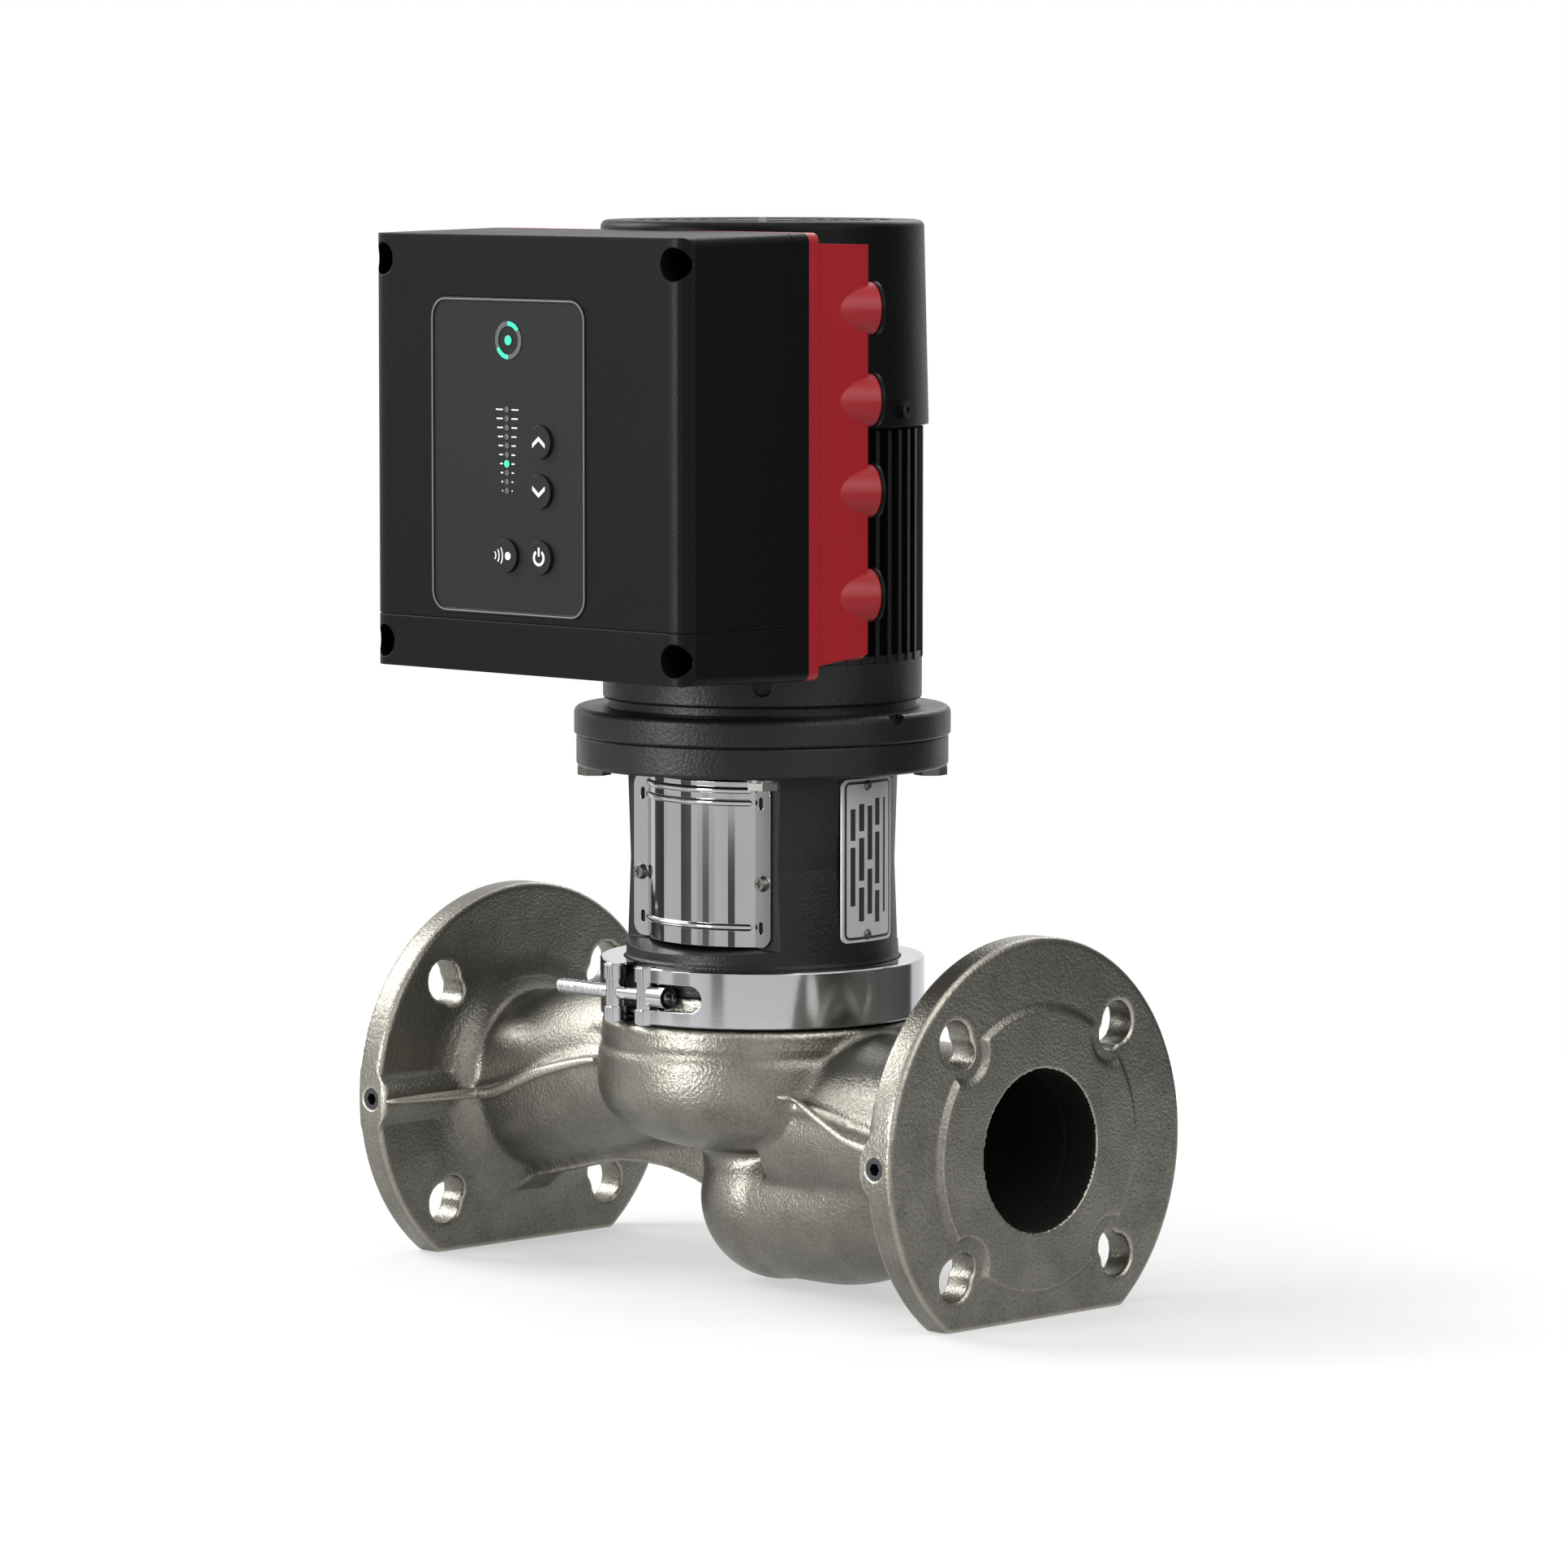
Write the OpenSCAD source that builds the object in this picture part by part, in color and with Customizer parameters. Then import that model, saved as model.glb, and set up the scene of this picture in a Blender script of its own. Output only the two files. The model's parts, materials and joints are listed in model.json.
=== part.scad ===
// Dry rotor circulator pump for in-line mounting between two pipe flanges.
// Millimetres, +Z up. The origin is the centre of the inlet flange face, the pipe runs
// along -X to the outlet flange, the shaft stands upright and the control box faces -Y.

/* [Pipe and flanges] */
// Distance between the two flange faces
port_to_port = 340; // [330:2:370]
// Bore of the inlet and the outlet
port_bore = 71; // [62:1:74]
// Outer diameter of both flanges
flange_d = 185; // [182:1:192]
// Thickness of a flange without its raised face
flange_t = 14; // [12:1:17]
// Diameter of the raised face
raised_d = 122; // [116:1:124]
// Height of the raised face
raised_h = 2; // [1:0.5:3]
// Circle of the large flange holes
bolt_circle_d = 145; // [144:1:148]
// Diameter of the large flange holes
bolt_hole_d = 19; // [18:0.5:20]
// Circle of the small lobes that widen the flange holes inwards
small_circle_d = 130; // [129:1:132]
// Diameter of the small lobes
small_hole_d = 13.2; // [12:0.2:13.2]
// Depth of the flat feet under the pipe axis
foot_depth = 74; // [73:1:78]

/* [Casting] */
// Outer radius of the volute bowl
bowl_r = 74; // [73:0.5:77]
// Height of the widest line of the bowl over the pipe axis
bowl_z = 19; // [18:0.5:20]
// Depth of the bowl under its widest line
bowl_depth = 34; // [33:0.5:37]
// Wall of the casting round the water passages
cast_wall = 8; // [7:0.5:9]
// Height of the shoulder that faces the clamp
shoulder_z = 45.5; // [44:0.5:46]
// Height of the joint between the casting and the pump head
joint_z = 59; // [57:0.5:61]
// Radius of the clamped rims
rim_r = 65; // [64.5:0.1:65.3]
// Radius of the necks behind the clamped rims
neck_r = 61.5; // [61:0.1:62]
// Bore that takes the spigot of the pump head
head_bore_r = 54; // [53:0.5:55]
// Outer radius of the discharge pipe
discharge_r = 40; // [39:0.5:42]
// Rise of the discharge pipe at the bowl
discharge_rise = 22; // [18:1:24]
// Outer radius of the suction pipe
suction_r = 42; // [41:0.5:43]
// Outer radius of the suction elbow
elbow_r = 36; // [35:0.5:37]
// Depth of the middle of the suction elbow
elbow_depth = 35.5; // [34:0.5:36]

/* [Clamp] */
// Outer radius of the clamp band
band_r = 72.5; // [71.5:0.5:74]
// Height of the clamp band
band_h = 25; // [24:0.5:27]
// Thickness of the clamp band
band_t = 1.5; // [1:0.1:2]
// Radius of the two barrels that the clamp screw pulls together
barrel_r = 4.3; // [4:0.1:4.5]
// Radius of the clamp screw
clamp_screw_r = 3; // [2.5:0.1:3.2]

/* [Impeller and shaft seal] */
// Outer radius of the impeller
impeller_r = 50; // [46:0.5:51]
// Radius of the impeller eye
eye_r = 24; // [22:0.5:25]
// Number of impeller vanes
vane_count = 6; // [5:1:8]
// Radius of the pump shaft
pump_shaft_r = 9; // [8:0.5:9.5]
// Gap between the shaft seal's rings and the pump head
seal_gap = 0.3; // [0.2:0.1:0.6]

/* [Pump head] */
// Outer radius of the lantern
lantern_r = 60; // [59:0.5:61]
// Inner radius of the lantern
lantern_bore_r = 51; // [50:0.5:52]
// Height of the lantern's floor
lantern_floor_z = 80; // [79:0.5:82]
// Distance from the shaft to the two guard faces
guard_face_y = 37; // [36:0.5:39]
// Underside of the top disc of the pump head
head_disc_z = 157.3; // [156:0.5:159]
// Radius of the top disc of the pump head
head_disc_r = 83; // [82:0.5:85]
// Joint between the pump head and the motor
motor_joint_z = 171; // [170:0.5:174]
// Circle radius of the four motor bolts
motor_bolt_r = 75; // [74:0.5:76]
// Thickness of the guard sheet
guard_t = 1.2; // [1:0.1:1.6]
// Outer radius of the guard's bulge
guard_r = 51; // [50.5:0.5:52]
// Half width of a guard
guard_half_w = 43; // [42:0.5:45]
// Bottom edge of the guards
guard_z0 = 80.5; // [80:0.5:83]
// Top edge of the guards
guard_z1 = 153.5; // [150:0.5:154.5]

/* [Motor] */
// Radius of the motor's mounting flange
motor_flange_r = 84; // [83:0.5:86]
// Thickness of the motor's mounting flange
motor_flange_t = 12.8; // [12:0.2:14]
// Radius of the finned motor body
motor_r = 71.5; // [71:0.5:72.5]
// Radius of the motor body between its fins
motor_core_r = 63; // [62:0.5:65]
// Distance between two cooling fins
fin_pitch = 7.9; // [7:0.1:9]
// Thickness of a cooling fin
fin_t = 2.4; // [2:0.1:3]
// Bottom of the finned body
body_z0 = 206; // [204:0.5:208]
// Top of the finned body
body_z1 = 308; // [306:1:318]
// Outer radius of the stator core
stator_r = 60; // [58:0.5:61]
// Outer radius of the rotor with its magnets
rotor_r = 40; // [36:0.5:41]
// Gap between rotor and stator
air_gap = 1; // [0.8:0.1:1.5]
// Number of stator slots
slot_count = 12; // [9:3:18]
// Number of rotor poles
pole_count = 8; // [6:2:12]
// Radius of the motor shaft in the stator
motor_shaft_r = 12; // [11:0.5:13]
// Outer radius of the fan
fan_r = 58; // [50:1:64]
// Number of fan blades
blade_count = 7; // [5:1:9]
// Radius of the fan cover at its top
cover_top_r = 71.7; // [71:0.1:72.2]
// Radius of the fan cover at its bottom
cover_bottom_r = 73.9; // [73.6:0.1:75]
// Top of the fan cover
cover_top_z = 399.5; // [390:0.5:405]
// Wall of the fan cover
cover_t = 1.6; // [1.2:0.1:2]

/* [Control box] */
// Distance from the shaft to the front of the control box
box_front_y = 145; // [138:1:150]
// Distance from the shaft to the rear edge of the box cover
box_joint_y = 72; // [71:0.5:74]
// Half width of the box cover at its rear edge
box_half_w = 100; // [99:0.5:104]
// Bottom of the box cover at its rear edge
box_z0 = 203.4; // [202:0.2:205]
// Top of the box cover at its rear edge
box_z1 = 395.6; // [390:0.2:398]
// How much smaller the box front is on each side
box_draft = 1.4; // [0.8:0.2:2]
// Wall of the box cover
box_wall = 2.5; // [2:0.1:3]
// Thickness of the flange of the box base
base_flange_t = 6; // [5:0.5:7]
// Distance from the shaft to the rear of the box base
base_rear_y = 31.5; // [30:0.5:35]
// Outer radius of the cable entry bosses
entry_boss_r = 11.5; // [11:0.1:12]
// Radius of the cable entry holes
entry_hole_r = 8; // [7:0.1:8.5]
// Width of the control panel
panel_w = 97; // [94:0.5:100]
// Height of the control panel
panel_h = 137; // [134:0.5:140]
// Radius of the push buttons
button_r = 7.2; // [6.5:0.1:7.5]
// Travel of the push buttons
button_travel = 0.8; // [0.5:0.1:1]
// How far the buttons stand out of the panel
button_proud = 1.2; // [1:0.1:1.6]

/* [Clearances] */
// Gap between pieces that are bolted or clamped together
seat_gap = 0.1; // [0.05:0.05:0.2]
// Radial clearance of a piece held in a bore
fit_gap = 0.05; // [0.02:0.01:0.1]
// Radial clearance of the plugs in the cable entries
plug_gap = 0.2; // [0.15:0.05:0.4]
// Clearance of a screw in its through hole
screw_gap = 0.4; // [0.3:0.1:0.6]
// Radial clearance round turning pieces in the water passages
run_gap = 0.4; // [0.3:0.1:0.8]

/* [Hidden] */
$fn = 96;

// Cuts run this far past the faces that they open
over = 1;
shaft_x = -port_to_port / 2;
flange_inner_x = port_to_port / 2 - raised_h - flange_t;
tapping_x = flange_inner_x + 5;
tapping_boss_r = 16;
tapping_boss_proud = 4.5;
tapping_r = 4.9;
tapping_depth = 14;
suction_flare_r = 18;
discharge_flare_r = 25;
discharge_flare_inset = 5;
rib_proud = 2.4;
water_r = port_bore / 2;
discharge_tilt = atan2(discharge_rise, flange_inner_x - bowl_r * 0.7);
riser_x = 14;
bulb_margin = 1.5;
bend_start_x = 48;
suction_bend_r = 66;
suction_bend_angle = 48;
port_bore_end_x = bend_start_x + 67;
port_cut_x = port_bore_end_x - 2;
volute_floor_z = 8;
volute_r = bowl_r - cast_wall;

band_z = joint_z - band_h / 2;
rim_bottom_z = band_z + band_t + seat_gap;
rim_top_z = band_z + band_h - band_t - seat_gap;
barrel_y = rim_r + barrel_r + band_t - 0.3;
barrel_a_x = -21.7;
barrel_b_x = -2.2;
loop_r = barrel_r + 0.9;
clamp_head_r = 5;
clamp_head_l = 9.5;
clamp_screw_end_x = -56.7;

impeller_z0 = 12;
impeller_z1 = 37;
shroud_t = 3;
hub_r = 15;
spigot_z = 40;
seal_chamber_r = 27;
seat_r = 16.5;
seat_z0 = 60;
seat_z1 = 69;
seal_ring_z = 52;
collar_z = 73;
o_ring_z = 50;
o_ring_r = 1.8;

coupling_r = 23;
coupling_z0 = 92;
coupling_z1 = 136;
shaft_joint_z = 113;
drive_shaft_r = 10;
coupling_screw_x = 15.5;
coupling_screw_r = 2.5;
coupling_screw_zs = [101, 127];
coupling_screw_l = 17;
coupling_screw_head_h = 4.5;
coupling_seat_y = 9;
guard_screw_x = 38.2;
guard_screw_z = 109;
guard_screw_r = 2;
guard_bead_zs = [89.2, 144.3, 149.8];
plate_az = 96;
plate_w = 34.8;
plate_t = 0.8;
plate_z0 = 82;
plate_z1 = 154.5;
rivet_zs = [85.2, 151.3];

motor_bolt_shank_r = 4;
shield_z0 = 187.5;
lower_bearing_z = 176;
lower_bearing_h = 14;
lower_bearing_r = 23.5;
upper_bearing_z = 312;
upper_bearing_h = 12;
upper_bearing_r = 20;
upper_shaft_r = 8.5;
core_z0 = 224;
core_z1 = 290;
end_turn_h = 9;
magnet_t = 3;
rear_shield_z1 = body_z1 + 18;
lug_az = 11.5;
lug_turns = [0:90:270];
lug_z = body_z1 + 9;
lug_r = 4.5;
cover_screw_head_r = 4;
cover_screw_head_h = 2.6;
cover_screw_end_r = cover_bottom_r + seat_gap + cover_screw_head_h;
cover_z0 = body_z1 + 1.4;
fan_z0 = 336;
fan_z1 = 362;
shaft_top_z = fan_z1 - 4;

cover_corner_r = 11;
panel_x = -10.5;
panel_z = 298.7;
panel_corner_r = 9;
panel_face_y = box_front_y + 0.4;
panel_lip_y = box_front_y - box_wall - seat_gap;
panel_lip_t = 1.2;
panel_lip_w = 2;
button_flange_r = button_r + 1.2;
button_flange_t = 1.1;
button_right_x = 10.4;
button_left_x = -11;
up_z = 305.7;
down_z = 284.4;
low_row_z = 256;
status_x = -10;
status_z = 349;
status_r = 8.2;
status_ring_w = 2;
status_dot_r = 2.2;
level_x = -11;
level_z0 = 284;
level_pitch = 3.9;
level_count = 10;
level_dot_r = 1.3;
light_proud = 0.3;
light_depth = 0.6;
saddle_r = max(cover_bottom_r, motor_r) + 1.1;
saddle_wall = 3;
box_screw_x = box_half_w - 9;
box_screw_zs = [box_z0 + 12, box_z1 - 12.5];
box_screw_r = 2;
box_screw_head_r = 4;
screw_well_r = 7.2;
entry_zs = [238.2, 283.5, 322.8, 362.4];
entry_tilt = 20;
base_inset = 4;
entry_x = box_half_w - base_inset - 4.7;
entry_y = base_rear_y - 3.6;
entry_depth = 26;
entry_through = 8;
mount_screw_zs = [226, 290];
mount_screw_x = 20;
mount_screw_r = 2.5;
mount_screw_l = 12;
mount_screw_head_r = 4.2;
mount_screw_head_h = 3;
board_t = 1.6;
power_board_y = 92;
board_post_x = box_half_w - 28;
board_side_gap = 22;
board_end_gap = 10;
board_post_zs = [box_z0 + 22, box_z1 - 24];
board_top_y = power_board_y + board_t + seat_gap;
panel_post_r = 3;
control_board_y = panel_lip_y - panel_lip_t - 3.4;
capacitor_r = 13;
capacitor_h = 30;
capacitor_pitch = 34;
capacitor_x = 40 - box_half_w;
capacitor_drop = 42;
terminal_w = box_half_w;
terminal_d = 18;
terminal_h = 20;
terminal_rise = 16;
terminal_count = 10;
terminal_hole_r = terminal_w / terminal_count * 0.3;
seam_rise = 23.6;
seam_w = 0.6;
seam_rear = 9.6;

iron = "#26262a";
cast_steel = "#9a958a";
steel = "#b9bcc0";
bright_steel = "#d4d6d8";
black_plastic = "#1d1e20";
red_plastic = "#a01c24";

// Points of an arc, from angle a0 to angle a1
function arc(cx, cy, r, a0, a1, n) =
    [for (i = [0:n]) [cx + r * cos(a0 + (a1 - a0) * i / n), cy + r * sin(a0 + (a1 - a0) * i / n)]];

// Smooth step from 0 to 1
function ease(t) = (1 - cos(180 * t)) / 2;

// Puts its children on the shaft axis
module on_shaft() {
    translate([shaft_x, 0, 0]) children();
}

// Turns a shape that faces -Y to an azimuth, 0 at the front and 90 at +X
module at_azimuth(az) {
    rotate([0, 0, az]) children();
}

module ring(r_out, r_in, z0, z1) {
    translate([0, 0, z0]) difference() {
        cylinder(r = r_out, h = z1 - z0);
        translate([0, 0, -over]) cylinder(r = r_in, h = z1 - z0 + 2 * over);
    }
}

module disc(r, z0, z1) {
    translate([0, 0, z0]) cylinder(r = r, h = z1 - z0);
}

// A cylinder along X between two places
module rod_x(r, x0, x1) {
    translate([x0, 0, 0]) rotate([0, 90, 0]) cylinder(r = r, h = x1 - x0);
}

// A cylinder along Y between two places
module rod_y(r, y0, y1) {
    translate([0, y0, 0]) rotate([-90, 0, 0]) cylinder(r = r, h = y1 - y0);
}

module rounded_rect(w, h, r) {
    for (x = [-1, 1], y = [-1, 1]) translate([x * (w / 2 - r), y * (h / 2 - r)]) circle(r);
    square([w - 2 * r, h], center = true);
    square([w, h - 2 * r], center = true);
}

// A plate that faces -Y, from y0 at the back to y1 at the front, as distances from the shaft
module front_plate(y0, y1) {
    translate([0, -y0, 0]) rotate([90, 0, 0]) linear_extrude(y1 - y0) children();
}

module hex_head(af, h) {
    cylinder(d = af / cos(30), h = h, $fn = 6);
}

// Socket screw that points along -Z from its seat at the origin
module socket_screw(r, length, head_r, head_h, socket_af) {
    translate([0, 0, -length]) cylinder(r = r, h = length + over);
    difference() {
        cylinder(r = head_r, h = head_h);
        translate([0, 0, head_h / 2]) hex_head(socket_af, head_h);
    }
}

// Outer half section of the bowl, a rounded square rather than a half round
module bowl_section() {
    n = 14;
    polygon(concat(
        [[0, bowl_z - bowl_depth]],
        [for (i = [1:n]) let (t = 90 * (1 - i / n))
            [bowl_r * pow(cos(t), 0.8), bowl_z - bowl_depth * pow(sin(t), 0.8)]],
        [[bowl_r - 1, shoulder_z - 9.5], [bowl_r - 2, shoulder_z - 8], [bowl_r - 2.4, shoulder_z - 2]],
        arc(bowl_r - 4.4, shoulder_z - 2, 2, 0, 90, 4),
        [[neck_r, shoulder_z], [neck_r, rim_bottom_z], [rim_r, rim_bottom_z + 1], [rim_r, joint_z],
            [0, joint_z]]));
}

// Water space round the impeller
module volute_section() {
    polygon(concat(
        [[0, volute_floor_z], [eye_r + 12, volute_floor_z], [head_bore_r - 4, volute_floor_z - 3]],
        arc(volute_r - 14, bowl_z - 7, 14, -60, 0, 5),
        arc(volute_r - 14, bowl_z + 5, 14, 0, 60, 5),
        [[head_bore_r, bowl_z + 20], [head_bore_r, joint_z + over], [0, joint_z + over]]));
}

// Disc of a flange with its raised face, its axis along +X and its inner face at x = 0
module flange_blank() {
    edge = 2;
    rotate([0, 90, 0]) rotate_extrude() polygon(concat(
        [[0, 0]],
        arc(flange_d / 2 - edge, edge, edge, -90, 0, 4),
        arc(flange_d / 2 - edge, flange_t - edge, edge, 0, 90, 4),
        [[raised_d / 2 + raised_h, flange_t], [raised_d / 2, flange_t + raised_h],
            [0, flange_t + raised_h]]));
}

// Concave blend from a pipe into the inner face of a flange
module flare(pipe_r, flare_r) {
    rotate([0, -90, 0]) rotate_extrude() polygon(concat(
        [[0, -over], [pipe_r + flare_r, -over]],
        arc(pipe_r + flare_r, flare_r, flare_r, 270, 180, 8),
        [[0, flare_r]]));
}

module flange_holes() {
    for (a = [45:90:315]) rotate([a, 0, 0]) {
        translate([0, 0, bolt_circle_d / 2]) rod_x(bolt_hole_d / 2, -flange_t, 2 * flange_t);
        translate([0, 0, small_circle_d / 2]) rod_x(small_hole_d / 2, -flange_t, 2 * flange_t);
        translate([0, 0, bolt_circle_d / 2])
            rod_x(bolt_hole_d / 2 + 3, flange_t, flange_t + 2 * raised_h);
    }
}

// A flange at +X with its tapping boss, ready for the suction pipe
module flange_end(pipe_r, flare_r) {
    translate([flange_inner_x, 0, 0]) {
        flange_blank();
        flare(pipe_r, flare_r);
        intersection() {
            translate([tapping_boss_r - tapping_boss_proud, 0, 0])
                rod_y(tapping_boss_r, -flange_d / 2 - 0.5, -pipe_r + 6);
            translate([-flange_t, -flange_d, -flange_t]) cube([2 * flange_t - 1, flange_d, 2 * flange_t]);
        }
    }
}

// Raised line that follows the mould joint on both sides of a pipe
module joint_ribbon(x0, x1, z0, z1) {
    n = 10;
    half_t = 1.7;
    rotate([90, 0, 0]) linear_extrude(2 * bowl_r, center = true) polygon(concat(
        [for (i = [0:n]) [x0 + (x1 - x0) * i / n, z0 + (z1 - z0) * ease(i / n) + half_t]],
        [for (i = [n:-1:0]) [x0 + (x1 - x0) * i / n, z0 + (z1 - z0) * ease(i / n) - half_t]]));
}

// The suction path: a bulb under the impeller eye, its riser and one bend up to the port
module suction_path(bend_r, riser_top_r, riser_top_x, riser_top_z) {
    rise = riser_top_z + elbow_depth;
    lean = atan2(riser_top_x - riser_x, rise);
    translate([riser_x, 0, -elbow_depth]) {
        sphere(r = bend_r + bulb_margin);
        rotate([0, lean, 0]) cylinder(r = riser_top_r, h = rise / cos(lean));
        rod_x(bend_r, 0, bend_start_x - riser_x);
    }
    translate([bend_start_x, 0, suction_bend_r - elbow_depth]) rotate([90, 0, 0]) rotate([0, 0, -90])
        rotate_extrude(angle = suction_bend_angle) translate([suction_bend_r, 0]) circle(bend_r);
}

module tilted_discharge(r, x0, x1) {
    translate([-flange_inner_x, 0, 0]) rotate([0, -discharge_tilt, 0]) rod_x(r, x0, x1);
}

// Web that joins the discharge pipe to the elbow, with an arched lower edge
module lower_web() {
    half_t = 11;
    arch_r = 130;
    arch_top_z = -28;
    rotate([90, 0, 0]) linear_extrude(2 * half_t, center = true) polygon(concat(
        [[-20, -10], [-20, -44]],
        arc(-68, arch_top_z - arch_r, arch_r, 71, 107, 8),
        [[-flange_inner_x + 14, arch_top_z - 14], [-flange_inner_x, arch_top_z - 23],
            [-flange_inner_x, -10]]));
}

// The whole housing in one casting, with its passages, holes and feet
module casting() difference() {
    union() {
        difference() {
            union() {
                suction_path(elbow_r, elbow_r - 2, 8, -4);
                rod_x(suction_r, bowl_r / 2, flange_inner_x + over);
                tilted_discharge(discharge_r, -2, flange_inner_x - 20);
                lower_web();
                intersection() {
                    joint_ribbon(-flange_inner_x - over, -bowl_r + 14, 0, 24);
                    tilted_discharge(discharge_r + rib_proud, -2, flange_inner_x - 20);
                }
                intersection() {
                    joint_ribbon(bowl_r - 16, flange_inner_x + over, 13, -1);
                    rod_x(suction_r + rib_proud, bowl_r / 2, flange_inner_x + over);
                }
            }
            disc(band_r + 5, shoulder_z - 0.7, joint_z + band_h);
        }
        rotate_extrude() bowl_section();
        flange_end(suction_r, suction_flare_r);
        mirror([1, 0, 0]) flange_end(discharge_r - discharge_flare_inset, discharge_flare_r);
    }
    // Feet, holes and tappings
    translate([-port_to_port, -flange_d, -foot_depth - flange_d])
        cube([2 * port_to_port, 2 * flange_d, flange_d]);
    for (m = [0, 1]) mirror([m, 0, 0]) {
        translate([flange_inner_x, 0, 0]) flange_holes();
        translate([tapping_x, 0, 0]) {
            rod_y(tapping_r, -flange_d / 2 - over, -flange_d / 2 + tapping_depth);
            rod_y(2.5, -flange_d / 2, 0);
        }
    }
    // Water passages
    rotate_extrude() volute_section();
    suction_path(elbow_r - cast_wall + 1, eye_r + 1, 0, volute_floor_z + over);
    rod_x(water_r, port_bore_end_x, port_to_port / 2 + over);
    translate([port_bore_end_x, 0, 0]) sphere(r = water_r - 0.5);
    rod_x(water_r, -port_to_port / 2 - over, -flange_inner_x);
    tilted_discharge(discharge_r - cast_wall + 1, -2, flange_inner_x - 50);
    disc(eye_r + 5 + fit_gap, volute_floor_z - 5, volute_floor_z + over);
}

// Space from the port cut outwards at +X
module port_side() translate([port_cut_x, -flange_d, -flange_d])
    cube([port_to_port, 2 * flange_d, 2 * flange_d]);

// The middle of the casting. The two port ends meet it face to face
module pump_housing() on_shaft() color(cast_steel) intersection() {
    casting();
    cube([2 * port_cut_x, 2 * flange_d, 2 * flange_d], center = true);
}

module inlet_port() on_shaft() color(cast_steel) intersection() {
    casting();
    port_side();
}

module outlet_port() on_shaft() color(cast_steel) intersection() {
    casting();
    mirror([1, 0, 0]) port_side();
}

module gauge_plugs() on_shaft() color(steel) for (s = [-1, 1])
    translate([s * tapping_x, -flange_d / 2 + 0.4, 0]) rotate([90, 0, 0]) difference() {
        translate([0, 0, -tapping_depth + 3]) cylinder(r = tapping_r - fit_gap, h = tapping_depth - 3);
        translate([0, 0, -5]) hex_head(5, 6);
    }

module wear_ring() on_shaft() color(steel)
    ring(eye_r + 5, eye_r + 2 + run_gap, volute_floor_z - 5 + seat_gap, volute_floor_z + 3);

// Backward curved vane from the eye to the rim, as a flat outline
module vane_outline() {
    n = 10;
    sweep = -62;
    half_t = 1.1;
    r0 = eye_r - 3;
    r1 = impeller_r - 0.4;
    polygon(concat(
        [for (i = [0:n]) let (r = r0 + (r1 - r0) * i / n, a = sweep * pow(i / n, 0.9))
            [r * cos(a), r * sin(a)]],
        [for (i = [n:-1:0]) let (r = r0 + (r1 - r0) * i / n, a = sweep * pow(i / n, 0.9))
            [(r - half_t) * cos(a + 110 * half_t / r), (r - half_t) * sin(a + 110 * half_t / r)]]));
}

module impeller() on_shaft() color(steel) difference() {
    union() {
        disc(impeller_r, impeller_z1 - shroud_t, impeller_z1);
        disc(hub_r, impeller_z0 + 6, impeller_z1 + 4);
        ring(impeller_r, eye_r, impeller_z0 + 3, impeller_z0 + 3 + shroud_t);
        ring(eye_r + 2, eye_r, volute_floor_z - 3, impeller_z0 + 4);
        translate([0, 0, impeller_z0 + 4]) linear_extrude(impeller_z1 - impeller_z0 - 5)
            for (i = [0:vane_count - 1]) rotate(i * 360 / vane_count) vane_outline();
    }
    disc(pump_shaft_r + fit_gap, 0, joint_z);
}

module impeller_nut() on_shaft() color(bright_steel) difference() {
    union() {
        translate([0, 0, impeller_z0 - 3]) hex_head(19, 7);
        disc(hub_r - 2, impeller_z0 + 4, impeller_z0 + 6 - seat_gap);
    }
    disc(6 + fit_gap, 0, impeller_z1);
}

module housing_o_ring() on_shaft() color("#18181a") translate([0, 0, o_ring_z]) rotate_extrude()
    translate([head_bore_r - fit_gap - o_ring_r, 0]) circle(o_ring_r, $fn = 32);

// Half section of the pump head: spigot, clamped rim, lantern and top disc
module head_section() {
    fillet = 2.5;
    groove = 2 * o_ring_r + 0.1;
    spigot_r = head_bore_r - fit_gap;
    polygon(concat(
        [[pump_shaft_r + 3, lantern_floor_z], [pump_shaft_r + 3, seat_z1 + seat_gap],
            [seat_r + fit_gap, seat_z1 + seat_gap], [seat_r + fit_gap, seat_z0],
            [seal_chamber_r, seat_z0 - 2], [seal_chamber_r, spigot_z], [spigot_r, spigot_z],
            [spigot_r, o_ring_z - groove / 2], [spigot_r - groove, o_ring_z - groove / 2],
            [spigot_r - groove, o_ring_z + groove / 2], [spigot_r, o_ring_z + groove / 2],
            [spigot_r, joint_z + seat_gap], [rim_r, joint_z + seat_gap], [rim_r, rim_top_z - 1],
            [neck_r, rim_top_z], [neck_r, collar_z - 1], [lantern_r + 0.9, collar_z],
            [lantern_r - 0.8, (collar_z + head_disc_z) / 2], [lantern_r + 0.6, head_disc_z - fillet]],
        arc(lantern_r + 0.6 + fillet, head_disc_z - fillet, fillet, 180, 90, 4),
        arc(head_disc_r - 1.5, head_disc_z + 1.5, 1.5, -90, 0, 3),
        arc(head_disc_r - 1, motor_joint_z - 1, 1, 0, 90, 3),
        [[lantern_bore_r + 5, motor_joint_z], [lantern_bore_r + 5, motor_joint_z - 5],
            [lantern_bore_r, motor_joint_z - 5], [lantern_bore_r, lantern_floor_z]]));
}

// Space outside a guard face, with the sloping sill under the window
module window_cut() {
    rotate([90, 0, 90]) linear_extrude(2 * lantern_r, center = true)
        polygon([[-guard_face_y, guard_z0 - 0.8], [-lantern_r - 12, collar_z + 2.5],
            [-lantern_r - 12, head_disc_z - 1], [-guard_face_y, head_disc_z - 1]]);
}

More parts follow.
